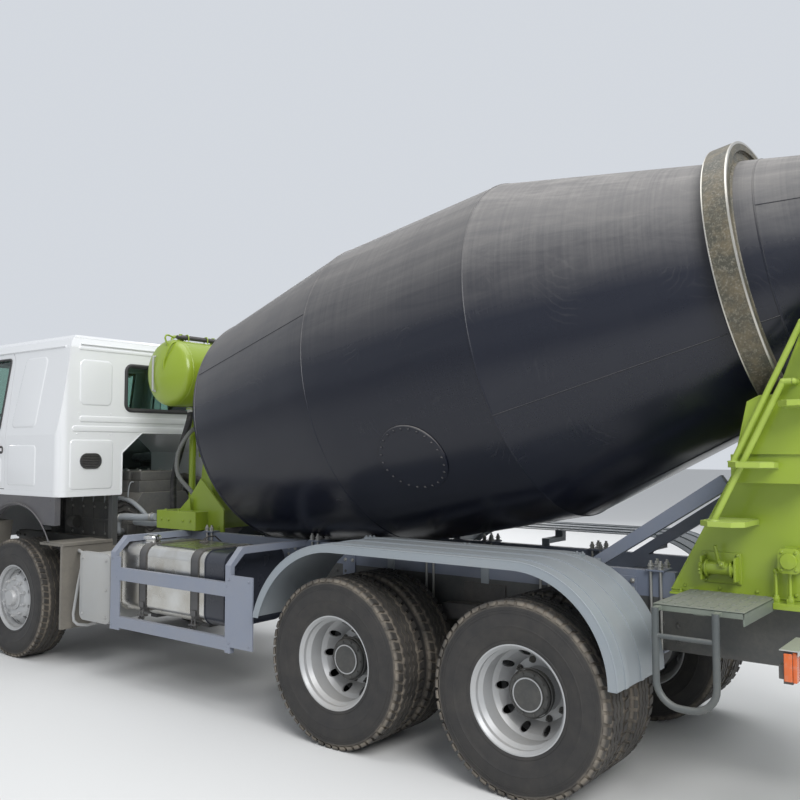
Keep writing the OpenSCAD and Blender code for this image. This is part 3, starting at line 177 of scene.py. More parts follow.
FLOAT, COLOUR, NORMAL = "NodeSocketFloat", "NodeSocketColor", "NodeSocketVector"

road_dust, given, result = new_group("Road dust", [("Clean", COLOUR), ("Dust", COLOUR), ("Amount", FLOAT),
                                                   ("Reach", FLOAT), ("Gloss", FLOAT)],
                                     [("Colour", COLOUR), ("Roughness", FLOAT)])
place = spot_on(road_dust)
clouds = noise(road_dust, place, 2.2, 8.0, 0.62)
grit = noise(road_dust, place, 38.0, 5.0, 0.7)
height = add(road_dust, "ShaderNodeSeparateXYZ", {"Vector": place})
low = maths(road_dust, "DIVIDE", height.outputs["Z"], given.outputs["Reach"])
fade = ramp(road_dust, low, 0.0, 1.0, 1.0, 0.25)
facing = add(road_dust, "ShaderNodeNewGeometry")
upward = add(road_dust, "ShaderNodeSeparateXYZ", {"Vector": facing.outputs["Normal"]})
lying = ramp(road_dust, upward.outputs["Z"], 0.2, 1.0, 0.0, 0.5)
patch = ramp(road_dust, clouds, 0.35, 0.72, 0.15)
fine = ramp(road_dust, grit, 0.3, 0.7, 0.55)
base = maths(road_dust, "MULTIPLY", fade, patch)
piled = maths(road_dust, "ADD", base, lying)
broken = maths(road_dust, "MULTIPLY", piled, fine)
mask = maths(road_dust, "MULTIPLY", broken, given.outputs["Amount"], clamp=True)
feed(result, {"Colour": mix_colours(road_dust, mask, given.outputs["Clean"], given.outputs["Dust"]),
              "Roughness": ramp(road_dust, mask, 0.0, 1.0, given.outputs["Gloss"], 0.9)})

sheet_wave, given, result = new_group("Sheet wave", [("Size", FLOAT), ("Grain", FLOAT)], [("Height", FLOAT)])
place = spot_on(sheet_wave)
swell = noise(sheet_wave, place, given.outputs["Size"], 1.0)
skin_grain = noise(sheet_wave, place, 420.0)
fine = maths(sheet_wave, "MULTIPLY", skin_grain, given.outputs["Grain"])
feed(result, {"Height": maths(sheet_wave, "ADD", swell, fine)})

worn_edge, given, result = new_group("Worn edge", [("Radius", FLOAT)], [("Normal", NORMAL), ("Worn", FLOAT)])
place = spot_on(worn_edge)
rounded = add(worn_edge, "ShaderNodeBevel", {"Radius": given.outputs["Radius"]}, samples=4)
facing = add(worn_edge, "ShaderNodeNewGeometry")
turned = add(worn_edge, "ShaderNodeVectorMath", {0: rounded.outputs["Normal"], 1: facing.outputs["Normal"]},
             operation="DOT_PRODUCT")
chips = noise(worn_edge, place, 45.0, 5.0)
rim = ramp(worn_edge, turned.outputs["Value"], 0.99, 0.78)
chipped = ramp(worn_edge, chips, 0.45, 0.62)
feed(result, {"Normal": rounded.outputs["Normal"], "Worn": maths(worn_edge, "MULTIPLY", rim, chipped)})

DUST = colour(0.4, 0.36, 0.3)


def painted(name, paint, gloss=0.35, dust=0.5, reach=2.5, metal=0.0, coat=0.0, wave=3.0, depth=0.004, grain=0.02,
            edge=0.004, wear=0.35):
    """A painted or plain sheet metal finish under road dust, its edges rounded and a little worn."""
    made, tree, skin = new_material(name)
    dusty = add(tree, "ShaderNodeGroup", {"Clean": colour(*paint), "Dust": DUST, "Amount": dust, "Reach": reach,
                                          "Gloss": gloss}, node_tree=road_dust).outputs
    edges = add(tree, "ShaderNodeGroup", {"Radius": edge}, node_tree=worn_edge).outputs
    rubbed = maths(tree, "MULTIPLY", edges["Worn"], wear)
    bare = colour(*[0.25 + 0.6 * c for c in paint])
    waves = add(tree, "ShaderNodeGroup", {"Size": wave, "Grain": grain}, node_tree=sheet_wave).outputs
    feed(skin, {"Normal": relief(tree, waves["Height"], depth, 0.6, edges["Normal"]),
                "Base Color": mix_colours(tree, rubbed, dusty["Colour"], bare), "Roughness": dusty["Roughness"],
                "Metallic": metal, "Coat Weight": coat})
    return made


def dress(material, *nodes):
    """Gives CAD nodes a material."""
    for name in nodes:
        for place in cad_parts[name].material_slots:
            place.material = material


TIP = 0.0001  # the radius of a turned profile where it meets its axis


class Shape:
    """Collects the faces of one piece. Every place is measured from under the front axle."""

    def __init__(self):
        self.bm = bmesh.new()

    def points(self, coordinates, place=None):
        """Corners in the piece, moved to a place if there is one."""
        return [self.bm.verts.new(place @ Vector(p) if place else Vector(p)) for p in coordinates]

    def face(self, corners):
        """A face, unless it has no area or is there already."""
        if len(set(corners)) > 2:
            try:
                self.bm.faces.new(corners)
            except ValueError:
                pass

    def join(self, rings, lid=False):
        """Joins closed rings of corners one after another, and lids the last one."""
        for a, b in zip(rings, rings[1:]):
            for i in range(len(a)):
                k = (i + 1) % len(a)
                self.face([a[i], b[i], b[k], a[k]])
        if lid:
            self.face(rings[-1])

    def bar_ring(self, middle, ahead, side, radius, sides):
        """The round section of a bar that runs ahead."""
        up = ahead.cross(side)
        return self.points([middle + radius * (math.cos(k * math.tau / sides) * side
                                               + math.sin(k * math.tau / sides) * up) for k in range(sides)])

    def block(self, low, high, bevel=0.0, place=None):
        """A box from corner to corner, its edges rounded by the bevel."""
        made = bmesh.ops.create_cube(self.bm, size=1.0)["verts"]
        middle = [(a + b) / 2 for a, b in zip(low, high)]
        size = [abs(b - a) for a, b in zip(low, high)]
        for v in made:
            v.co = Vector([v.co[i] * size[i] + middle[i] for i in range(3)])
        if bevel:
            edges = list({e for v in made for e in v.link_edges})
            made = bmesh.ops.bevel(self.bm, geom=edges, offset=bevel, segments=3, affect="EDGES",
                                   profile=0.6)["verts"]
        if place:
            for v in made:
                v.co = place @ v.co
        return made

    def lathe(self, profile, place, steps=64, closed=False, sweep=360.0, start=0.0):
        """Turns (radius, height) points round the place's local Z."""
        around = steps if sweep == 360.0 else steps + 1
        rings = []
        for i in range(around):
            a = math.radians(start + sweep * i / steps)
            rings.append(self.points([(r * math.cos(a), r * math.sin(a), z) for r, z in profile], place))
        last = len(profile) if closed else len(profile) - 1
        for i in range(steps):
            a, b = rings[i], rings[(i + 1) % around]
            for k in range(last):
                m = (k + 1) % len(profile)
                self.face([a[k], b[k], b[m], a[m]])

    def tube(self, route, radius, sides=12, ends=True):
        """A round bar along points; the frame is carried on from point to point."""
        path = [Vector(p) for p in route]
        side = None
        rings = []
        for i, p in enumerate(path):
            ahead = (path[min(i + 1, len(path) - 1)] - path[max(i - 1, 0)]).normalized()
            if side is None:
                side = ahead.orthogonal().normalized()
            side = (side - ahead * side.dot(ahead)).normalized()
            rings.append(self.bar_ring(p, ahead, side, radius, sides))
        self.join(rings)
        if ends:
            self.face(rings[0])
            self.face(list(reversed(rings[-1])))

    def prism(self, outline, low, high, axis, bevel=0.0):
        """An outline pulled along an axis: Y takes (x, z), X takes (y, z), Z takes (x, y)."""
        def put(u, v, w):
            return {"X": (w, u, v), "Y": (u, w, v), "Z": (u, v, w)}[axis]
        a = self.points([put(u, v, low) for u, v in outline])
        b = self.points([put(u, v, high) for u, v in outline])
        self.face(a)
        self.face(list(reversed(b)))
        self.join([a, b])
        if bevel:
            edges = list({e for v in a + b for e in v.link_edges})
            bmesh.ops.bevel(self.bm, geom=edges, offset=bevel, segments=2, affect="EDGES", profile=0.6)

    def bolt(self, spot, outward, size=0.012, stud=0.0):
        """A hexagon head with a washer, and a stud end if it has one."""
        place = Matrix.Translation(spot) @ Vector(outward).to_track_quat("Z", "Y").to_matrix().to_4x4()
        self.lathe([(TIP, 0), (size * 1.35, 0), (size * 1.35, size * 0.25), (size * 0.9, size * 0.25)], place,
                   steps=16)
        self.lathe([(size, size * 0.2), (size, size * 0.95), (size * 0.82, size * 1.1), (TIP, size * 1.1)], place,
                   steps=6)
        if stud:
            self.lathe([(size * 0.5, size), (size * 0.5, stud), (size * 0.4, stud + size * 0.15),
                        (TIP, stud + size * 0.15)], place, steps=10)

    def mesh(self, name, material, smooth=35):
        """Ends the shape as a mesh, its edges sharp from an angle on."""
        bmesh.ops.recalc_face_normals(self.bm, faces=self.bm.faces)
        mesh = bpy.data.meshes.new(name)
        self.bm.to_mesh(mesh)
        self.bm.free()
        mesh.materials.append(material)
        mesh.shade_smooth()
        mesh.set_sharp_from_angle(angle=math.radians(smooth))
        return mesh

    def piece(self, name, material, body, smooth=35, slot=None):
        """Ends the shape: one named piece with its finish, riding on a body."""
        bmesh.ops.translate(self.bm, verts=self.bm.verts, vec=(FRONT_AXLE_X, 0, 0))
        bmesh.ops.remove_doubles(self.bm, verts=self.bm.verts, dist=0.00005)
        made = bpy.data.objects.new(name, self.mesh(name, material, smooth))
        scene.collection.objects.link(made)
        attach(made, body)
        return made


def tilted(spot, degrees, axis):
    """A place whose own axes are turned round X or Y."""
    return Matrix.Translation(spot) @ Matrix.Rotation(math.radians(degrees), 4, axis)


def round_loop(half_u, half_v, corner, steps=6):
    """A rounded rectangle round the origin, counter-clockwise."""
    loop = []
    for k, (cu, cv) in enumerate(((1, 1), (-1, 1), (-1, -1), (1, -1))):
        for i in range(steps + 1):
            a = math.radians(90 * k + 90 * i / steps)
            loop.append((cu * (half_u - corner) + corner * math.cos(a),
                         cv * (half_v - corner) + corner * math.sin(a)))
    return loop


FRAME_Y, FRAME_BOTTOM, SUBFRAME_TOP = 0.425, 0.75, 1.2
frame_paint = painted("Frame paint", (0.045, 0.05, 0.053), gloss=0.5, dust=0.55, reach=1.4)
subframe_paint = painted("Subframe paint", (0.15, 0.178, 0.24), gloss=0.42, dust=0.4)
zinc = painted("Zinc plate", (0.42, 0.42, 0.4), gloss=0.38, dust=0.45, metal=0.8, edge=0.001)
dress(frame_paint, "chassis_frame")
dress(subframe_paint, "subframe")

rivets = Shape()
for s in (1, -1):
    for x in (1.18, -1.78, -2.7, -3.42, -4.7, -5.96, -6.78):
        for dx in (-0.045, 0.045):
            for z in (0.8, 0.9, 1.0):
                rivets.bolt((x + dx, s * FRAME_Y, z), (0, s, 0), 0.012)
rivets.piece("frame_bolts", frame_paint, "root", slot="frame")

clamps = Shape()
for s in (1, -1):
    for x in (-2.9, -3.5, -5.7):
        for dx in (-0.036, 0.036):
            for z in (0.915, 0.965, 1.085, 1.135):
                clamps.bolt((x + dx, s * (FRAME_Y + 0.01), z), (0, s, 0), 0.011)
clamps.piece("clamp_bolts", zinc, "root", slot="frame")

u_bolts, u_plates = Shape(), Shape()
for s in (1, -1):
    for x in (-1.9, -3.15, -4.25, -5.15, -5.88):
        near, far = s * (FRAME_Y + 0.011), s * 0.333
        for dx in (-0.03, 0.03):
            for y in (near, far):
                u_bolts.tube([(x + dx, y, FRAME_BOTTOM - 0.02), (x + dx, y, SUBFRAME_TOP + 0.062)], 0.009, 10)
                u_bolts.bolt((x + dx, y, SUBFRAME_TOP + 0.012), (0, 0, 1), 0.016)
                u_bolts.bolt((x + dx, y, SUBFRAME_TOP + 0.03), (0, 0, 1), 0.016)
        u_plates.block((x - 0.055, min(near, far) - 0.02, SUBFRAME_TOP),
                       (x + 0.055, max(near, far) + 0.02, SUBFRAME_TOP + 0.012), 0.003)
        u_plates.block((x - 0.055, min(near, far) - 0.02, FRAME_BOTTOM - 0.014),
                       (x + 0.055, max(near, far) + 0.02, FRAME_BOTTOM), 0.003)
u_bolts.piece("u_bolts", zinc, "root", slot="frame")
u_plates.piece("u_bolt_plates", subframe_paint, "root", slot="guard")

# Axles and springs: forged beam and cast housings, bare and oily. Air brake
# chambers sit on them, and U-bolts hold the leaf packs.
iron = painted("Oily iron", (0.04, 0.04, 0.043), gloss=0.55, dust=0.7, reach=1.2)
dress(iron, "front_axle", "rear_bogie", "knuckle_left", "knuckle_right", "track_rod")

brakes, leaf_bolts = Shape(), Shape()
CAN = [(TIP, 0.0), (0.055, 0.0), (0.072, 0.01), (0.076, 0.03), (0.076, 0.048), (0.084, 0.05), (0.084, 0.062),
       (0.076, 0.064), (0.076, 0.09), (0.066, 0.104), (0.03, 0.11), (TIP, 0.11)]
LONG_CAN = CAN[:-3] + [(0.07, 0.1), (0.078, 0.106), (0.078, 0.19), (0.066, 0.205), (0.02, 0.208), (TIP, 0.208)]
for s in (1, -1):
    brakes.lathe(CAN, tilted((-0.15, s * 0.64, 0.64), 90, "Y"), steps=32)
    brakes.tube([(-0.15, s * 0.64, 0.64), (-0.12, s * 0.7, 0.6), (-0.06, s * 0.78, 0.592)], 0.014)
    for x, turn in ((-4.025, 1), (-5.375, -1)):
        place = tilted((x + turn * 0.12, s * 0.33, 0.78), 90 * turn, "Y")
        brakes.lathe(LONG_CAN, place, steps=32)
        brakes.block((x - 0.06, s * 0.33 - 0.045, 0.6), (x + turn * 0.125 + 0.012, s * 0.33 + 0.045, 0.72), 0.01)
        brakes.block((x + turn * 0.105, s * 0.33 - 0.08, 0.69), (x + turn * 0.121, s * 0.33 + 0.08, 0.86), 0.004)
    for x in (-0.09, 0.03):
        for y in (0.325, 0.445):
            leaf_bolts.tube([(x + 0.03, s * y, 0.405), (x + 0.03, s * y, 0.665)], 0.009, 10)
            leaf_bolts.bolt((x + 0.03, s * y, 0.652), (0, 0, 1), 0.015)
    leaf_bolts.block((-0.08, s * 0.385 - 0.075, 0.636), (0.08, s * 0.385 + 0.075, 0.652), 0.004)
brakes.piece("brake_chambers", iron, "root", slot="axle")
leaf_bolts.piece("spring_bolts", iron, "root", slot="axle")

# Tyres: 22.5 inch tubeless truck tyres. The carcass is a moulded rubber shell
# with rings on its side walls; zigzag ribs and cut shoulder lugs stand on it,
# and dry dust lies in the grooves.
AXLE_Z = 0.542
AXLE_X = {"front": 0.0, "mid": -4.025, "rear": -5.375}
TYRE_R = 0.542
GROOVE = 0.014
BEAD_R = 0.3003

tyre_rubber, tree, skin = new_material("Tyre rubber")
place = spot_on(tree)
spin = add(tree, "ShaderNodeSeparateXYZ", {"Vector": place})
flat = add(tree, "ShaderNodeCombineXYZ", {"X": spin.outputs["X"], "Y": spin.outputs["Y"]})
reach = add(tree, "ShaderNodeVectorMath", {0: flat.outputs[0]}, operation="LENGTH")
mottle = noise(tree, place, 7.0, 8.0, 0.65)
specks = noise(tree, place, 90.0, 3.0)
in_groove = ramp(tree, reach.outputs["Value"], TYRE_R - GROOVE, TYRE_R - 0.001, 0.75, 0.16)
on_tread = ramp(tree, reach.outputs["Value"], 0.5, 0.522, 0.09)
both_masks = maths(tree, "MULTIPLY", in_groove, on_tread)
patchy = ramp(tree, mottle, 0.38, 0.64, 0.35, 1.25)
dust_mask = maths(tree, "MULTIPLY", both_masks, patchy, clamp=True)
feed(skin, {"Base Color": mix_colours(tree, dust_mask, colour(0.017, 0.017, 0.018), colour(0.27, 0.235, 0.19)),
            "Roughness": ramp(tree, dust_mask, 0.0, 1.0, 0.62, 0.95), "Normal": relief(tree, specks, 0.0008)})

SIDE_WALL = [(BEAD_R, 0.118), (BEAD_R, 0.127), (0.306, 0.1285), (0.312, 0.132), (0.318, 0.1322), (0.32, 0.13),
             (0.33, 0.133), (0.352, 0.141), (0.38, 0.1462), (0.4, 0.1485), (0.402, 0.15), (0.406, 0.15),
             (0.408, 0.1488), (0.43, 0.1497), (0.455, 0.148), (0.47, 0.1455), (0.471, 0.1472), (0.476, 0.1466),
             (0.477, 0.1446), (0.486, 0.1425), (0.487, 0.144), (0.493, 0.1428), (0.494, 0.1404), (0.503, 0.1372),
             (0.506, 0.1385), (0.511, 0.137), (0.514, 0.133), (TYRE_R - GROOVE - 0.003, 0.124),
             (TYRE_R - GROOVE, 0.118)]


def tyre_mesh(name, lugs, ribs):
    """One tyre round its own Z axis: the shell, zigzag ribs and shoulder lugs."""
    shape = Shape()
    profile = SIDE_WALL + [(TYRE_R - GROOVE, z) for z in (0.06, 0.0, -0.06)] + [(r, -z)
                                                                                for r, z in reversed(SIDE_WALL)]
    shape.lathe(profile, None, steps=144)
    steps = 2 * lugs
    for middle, half, swing in ribs:
        edge = []
        for i in range(steps):
            a = math.tau * i / steps
            shift = swing if i % 2 else -swing
            row = []
            for r, side in ((TYRE_R - GROOVE - 0.002, -1), (TYRE_R, -1), (TYRE_R, 1), (TYRE_R - GROOVE - 0.002, 1)):
                z = middle + shift + side * (half if r == TYRE_R else half + 0.002)
                row.append((r * math.cos(a), r * math.sin(a), z))
            edge.append(shape.points(row))
        for i in range(steps):
            a, b = edge[i], edge[(i + 1) % steps]
            for k in range(3):
                shape.face([a[k], a[k + 1], b[k + 1], b[k]])
    for side in (-1, 1):
        for i in range(lugs):
            a0 = math.tau * (i + (0.0 if side > 0 else 0.5)) / lugs
            a1 = a0 + math.tau / lugs * 0.68
            slant = math.tau / lugs * 0.1
            rows = []
            for a, lean in ((a0, -slant), (a1, -slant), (a1, slant), (a0, slant)):
                inner = lean < 0
                z = 0.088 if inner else 0.131
                rows.append(((TYRE_R, a + lean, z), (TYRE_R - GROOVE - 0.003, a + lean, z)))
            drop = (0.517, 0.1368)
            top = [shape.points([(r * math.cos(a), r * math.sin(a), side * z)])[0] for (r, a, z), _ in rows]
            low = [shape.points([(r * math.cos(a), r * math.sin(a), side * z)])[0] for _, (r, a, z) in rows]
            heel = [shape.points([(drop[0] * math.cos(a), drop[0] * math.sin(a), side * drop[1])])[0]
                    for a in (a1 + slant, a0 + slant)]
            shape.face(top)
            shape.face([top[0], low[0], low[1], top[1]])
            shape.face([top[2], heel[0], heel[1], top[3]])
            shape.face([top[1], low[1], low[2], heel[0], top[2]])
            shape.face([top[0], top[3], heel[1], low[3], low[0]])
    return shape.mesh(name, tyre_rubber, 32)


def wheel_piece(name, mesh, x, y, outward, body, *nodes):
    """A copy of a wheel's mesh at its hub, its Z axis turned to the wheel's outer side."""
    made = bpy.data.objects.new(name, mesh)
    scene.collection.objects.link(made)
    made.matrix_world = tilted((FRONT_AXLE_X + x, y, AXLE_Z), -90 * outward, "X")
    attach(made, body)
    if nodes:
        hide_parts(*nodes)
    return made


steer_tyre = tyre_mesh("steer_tyre", 60, [(0.0, 0.016, 0.004), (0.046, 0.017, 0.004), (-0.046, 0.017, 0.004)])
drive_tyre = tyre_mesh("drive_tyre", 54, [(0.0, 0.014, 0.007), (0.043, 0.016, 0.007), (-0.043, 0.016, 0.007)])
STEER_Y, TWIN_FACE, TWIN_PITCH = 1.03, 0.901, 0.343
for side, s in (("left", 1), ("right", -1)):
    wheel_piece(f"tyre_tread_front_{side}", steer_tyre, 0, s * STEER_Y, s, f"wheel_front_{side}",
                f"tyre_front_{side}")
    for axle in ("mid", "rear"):
        for which, k in (("outer", 0.5), ("inner", -0.5)):
            made = wheel_piece(f"tyre_tread_{axle}_{side}_{which}", drive_tyre, AXLE_X[axle],
                               s * (TWIN_FACE + k * TWIN_PITCH), s, f"wheel_{axle}_{side}")
            made.rotation_euler.rotate_axis("Z", math.pi * k)
            if which == "outer":
                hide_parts(f"tyre_{axle}_{side}")

# Rims and hubs: pressed steel discs in silver, held by ten nuts. The driven hubs
# are dark castings with a bolted cover; the steered ones have a smooth cap.
silver_paint = painted("Rim paint", (0.44, 0.45, 0.46), gloss=0.35, dust=0.42, reach=1.1, metal=0.25, edge=0.002)
hub_paint = painted("Hub paint", (0.034, 0.038, 0.041), gloss=0.5, dust=0.35, reach=1.1, edge=0.002, wear=0.0)
dress(silver_paint, *[f"rim_{axle}_{side}" for axle in AXLE_X for side in ("left", "right")])


def ring_of(count, radius, start=0.0):
    return [(radius * math.cos(start + math.tau * i / count), radius * math.sin(start + math.tau * i / count))
            for i in range(count)]


NUT_COUNT, NUT_CIRCLE = 10, 0.1675
nuts = Shape()
for x, y in ring_of(NUT_COUNT, NUT_CIRCLE):
    nuts.bolt((x, y, 0.013), (0, 0, 1), 0.0155, stud=0.034)
twin_nuts = nuts.mesh("twin_nuts", hub_paint)
cover = Shape()
cover.lathe([(0.13, 0.085), (0.13, 0.15), (0.122, 0.16), (0.098, 0.163), (0.095, 0.172), (0.086, 0.1755),
             (0.05, 0.1757), (0.046, 0.1772), (TIP, 0.1772)], None, steps=48)
cover.lathe([(0.134, 0.118), (0.1395, 0.121), (0.1395, 0.136), (0.134, 0.139)], None, steps=48)
for x, y in ring_of(10, 0.113):
    cover.bolt((x, y, 0.16), (0, 0, 1), 0.008)
hub_cover = cover.mesh("hub_cover", hub_paint)
front_nuts = Shape()
for x, y in ring_of(NUT_COUNT, NUT_CIRCLE, 0.31):
    front_nuts.bolt((x, y, 0.113), (0, 0, 1), 0.0155, stud=0.032)
steer_nuts = front_nuts.mesh("steer_nuts", silver_paint)
cap = Shape()
cap.lathe([(0.112, 0.095), (0.112, 0.128), (0.104, 0.134), (0.078, 0.136), (0.074, 0.16), (0.066, 0.17),
           (0.045, 0.1735), (TIP, 0.1745)], None, steps=48)
for x, y in ring_of(8, 0.094):
    cap.bolt((x, y, 0.135), (0, 0, 1), 0.006)
hub_cap = cap.mesh("hub_cap", silver_paint)
for side, s in (("left", 1), ("right", -1)):
    wheel_piece(f"wheel_nuts_front_{side}", steer_nuts, 0, s * STEER_Y, s, f"wheel_front_{side}")
    wheel_piece(f"hub_cap_front_{side}", hub_cap, 0, s * STEER_Y, s, f"wheel_front_{side}")
    for axle in ("mid", "rear"):
        wheel_piece(f"wheel_nuts_{axle}_{side}", twin_nuts, AXLE_X[axle], s * TWIN_FACE, s, f"wheel_{axle}_{side}")
        wheel_piece(f"hub_cover_{axle}_{side}", hub_cover, AXLE_X[axle], s * TWIN_FACE, s, f"wheel_{axle}_{side}")


# Fuel tank: brushed aluminium sheet with rolled end seams. Two steel bands over
# rubber strips hold it, and a knurled cap closes its neck.
brushed, given, result = new_group("Brushed metal", [("Length", FLOAT)], [("Height", FLOAT), ("Fac", FLOAT)])
place = spot_on(brushed)
stretch = add(brushed, "ShaderNodeVectorMath", {0: place, 1: (3.0, 260.0, 260.0)}, operation="MULTIPLY")
lines = noise(brushed, stretch.outputs[0], given.outputs["Length"], 3.0)
stains = noise(brushed, place, 3.5, 5.0)
feed(result, {"Height": lines, "Fac": stains})

TANK_X0, TANK_X1, TANK_Y, TANK_Z = -2.87, -1.61, 0.805, 0.875
DARK_END = -2.655
tank_metal, tree, skin = new_material("Tank sheet")
grain = add(tree, "ShaderNodeGroup", {"Length": 1.0}, node_tree=brushed).outputs
place = spot_on(tree)
spot = add(tree, "ShaderNodeSeparateXYZ", {"Vector": place})
behind = maths(tree, "LESS_THAN", spot.outputs["X"], FRONT_AXLE_X + DARK_END)
stained = ramp(tree, grain["Fac"], 0.35, 0.75)
sheet = mix_colours(tree, stained, colour(0.66, 0.66, 0.64), colour(0.4, 0.36, 0.29))
feed(skin, {"Base Color": mix_colours(tree, behind, sheet, colour(0.032, 0.036, 0.048)),
            "Metallic": ramp(tree, behind, 0.0, 1.0, 1.0, 0.0), "Roughness": ramp(tree, grain["Fac"], 0.0, 1.0,
                                                                                  0.12, 0.42),
            "Normal": relief(tree, grain["Height"], 0.0006)})
dress(tank_metal, "fuel_tank")
band_steel = painted("Band steel", (0.085, 0.088, 0.095), gloss=0.35, dust=0.35, metal=0.6, edge=0.002)
dress(band_steel, "tank_straps")
strip_rubber = painted("Strip rubber", (0.03, 0.03, 0.032), gloss=0.7, dust=0.3, edge=0.001)
chrome = painted("Chrome", (0.62, 0.62, 0.62), gloss=0.12, dust=0.15, metal=1.0, edge=0.001)


def tank_loop(grow, corner):
    return [(TANK_Y + u, TANK_Z + v) for u, v in round_loop(0.305 + grow, 0.275 + grow, corner)]


seams, strips, bands = Shape(), Shape(), Shape()
for x in (TANK_X0, DARK_END, TANK_X1):
    ring = [(x, y, z) for y, z in tank_loop(0.002, 0.092)]
    seams.tube(ring + ring[:2], 0.006, 8, ends=False)
for x in (-1.9, -2.54):
    strips.prism(tank_loop(0.0055, 0.095), x - 0.047, x + 0.047, "X")
    for dx in (-0.018, 0.018):
        bands.tube([(x + dx, 1.119, 0.64), (x + dx, 1.121, 0.56)], 0.007, 8)
        bands.bolt((x + dx, 1.121, 0.575), (0, 0, -1), 0.012)
    bands.block((x - 0.04, 1.085, 0.585), (x + 0.04, 1.135, 0.597), 0.003)
    bands.block((x - 0.026, 1.1155, 0.655), (x + 0.026, 1.127, 0.7), 0.003)
seams.piece("tank_seams", tank_metal, "root", slot="tank_metal")
strips.piece("tank_strips", strip_rubber, "root", slot="hose")
bands.piece("tank_band_bolts", band_steel, "root", slot="strap")

filler = Shape()
neck = Matrix.Translation((-1.8, 0.95, 1.14))
filler.lathe([(0.066, 0.0), (0.066, 0.02), (0.058, 0.024), (0.058, 0.048), (0.064, 0.05)], neck, steps=40)
filler.lathe([(TIP, 0.074), (0.03, 0.074), (0.052, 0.07), (0.066, 0.062), (0.07, 0.05), (0.07, 0.04),
              (0.064, 0.036)], neck, steps=40)
for i in range(20):
    a = math.tau * i / 20
    filler.tube([neck @ Vector((0.07 * math.cos(a), 0.07 * math.sin(a), z)) for z in (0.039, 0.059)], 0.0028, 6)
filler.block((-1.866, 0.942, 1.208), (-1.734, 0.958, 1.22), 0.004)
filler.piece("filler_cap", chrome, "root", slot="chrome")
sender = Shape()
sender.lathe([(0.04, 0.0), (0.04, 0.01), (0.034, 0.014), (0.012, 0.016), (0.012, 0.03), (TIP, 0.032)],
             Matrix.Translation((-2.15, 0.7, 1.1495)), steps=28)
sender.tube([(-2.15, 0.7, 1.178), (-2.15, 0.66, 1.196), (-2.12, 0.56, 1.19), (-2.1, 0.47, 1.13),
             (-2.1, 0.44, 1.06)], 0.006, 8)
sender.piece("fuel_sender", strip_rubber, "root", slot="hose")

# Side guards: folded channels bolted between posts, painted grey-blue like the
# mudguards, under road dust.
guard_paint = painted("Guard paint", (0.225, 0.255, 0.325), gloss=0.4, dust=0.35)
dress(guard_paint, "side_guards")
guard_bolts = Shape()
for s in (1, -1):
    for x in (-1.67, -3.0):
        for z in (0.885, 0.935, 0.503, 0.547):
            guard_bolts.bolt((x, s * 1.195, z), (0, s, 0), 0.0065)
    for x, z in ((-1.612, 1.03), (-1.612, 0.5), (-3.03, 0.985), (-3.03, 0.535), (-3.235, 0.985), (-3.235, 0.535)):
        guard_bolts.bolt((x, s * 1.2, z), (0, s, 0), 0.006)
guard_bolts.piece("guard_bolts", guard_paint, "root", slot="guard")

# Battery box: a sheet steel box with a round-cornered lid plate held by bolts,
# beside the air tanks on the other side. Its tube frame is bent from one bar.
plate_paint = painted("Plate paint", (0.4, 0.41, 0.41), gloss=0.42, dust=0.45)
dress(plate_paint, "side_boxes")
PLATE_X, PLATE_Z, PLATE_Y = -1.29, 0.76, 1.15
lid = Shape()
a = lid.points([(PLATE_X + u, PLATE_Y - 0.001, PLATE_Z + v) for u, v in round_loop(0.212, 0.282, 0.055)])
b = lid.points([(PLATE_X + u, PLATE_Y + 0.0035, PLATE_Z + v) for u, v in round_loop(0.204, 0.274, 0.048)])
lid.join([a, b], lid=True)
for u, v in ((-0.17, 0.235), (0.17, 0.235), (-0.17, -0.235), (0.17, -0.235), (-0.17, -0.01)):
    lid.bolt((PLATE_X + u, PLATE_Y + 0.0035, PLATE_Z + v), (0, 1, 0), 0.01)
lid.piece("battery_lid", plate_paint, "root", slot="box")
tube_frame = Shape()
for s in (1, -1):
    bend = [(x, s * y, z) for x, y, z in ((-0.8, 0.99, 1.01), (-0.86, 1.03, 1.026), (-0.98, 1.075, 1.02),
                                          (-1.01, 1.08, 0.98), (-0.935, 1.08, 0.74), (-0.87, 1.08, 0.48),
                                          (-0.88, 1.08, 0.42), (-0.93, 1.075, 0.395), (-1.03, 1.04, 0.395),
                                          (-1.06, 0.98, 0.41))]
    tube_frame.tube(bend, 0.013, 12)
tube_frame.piece("tube_frame", plate_paint, "root", slot="box")
AIR_TANK_Y, AIR_BAND_R = -0.78, 0.1075
air_tank_paint = painted("Air tank paint", (0.06, 0.062, 0.065), gloss=0.4, dust=0.5)
fittings = Shape()
for z in (0.7, 0.93):
    for x in (-2.7, -1.95):
        for dx, radius in ((0.0, 0.005), (-0.01, 0.004), (0.01, 0.004)):
            fittings.tube([(x + dx, AIR_TANK_Y + AIR_BAND_R * math.cos(a), z + AIR_BAND_R * math.sin(a))
                           for a in [math.tau * i / 32 for i in range(33)]], radius, 6, ends=False)
    for x in (-2.45, -2.15):
        fittings.bolt((x, AIR_TANK_Y, z - 0.104), (0, 0, -1), 0.014)
    fittings.tube([(-2.905, -0.78, z), (-2.935, -0.76, z), (-2.945, -0.7, z + 0.01), (-2.93, -0.56, z + 0.03),
                   (-2.9, -0.44, z + 0.03)], 0.007, 8)
fittings.piece("air_tank_bands", air_tank_paint, "root", slot="frame")

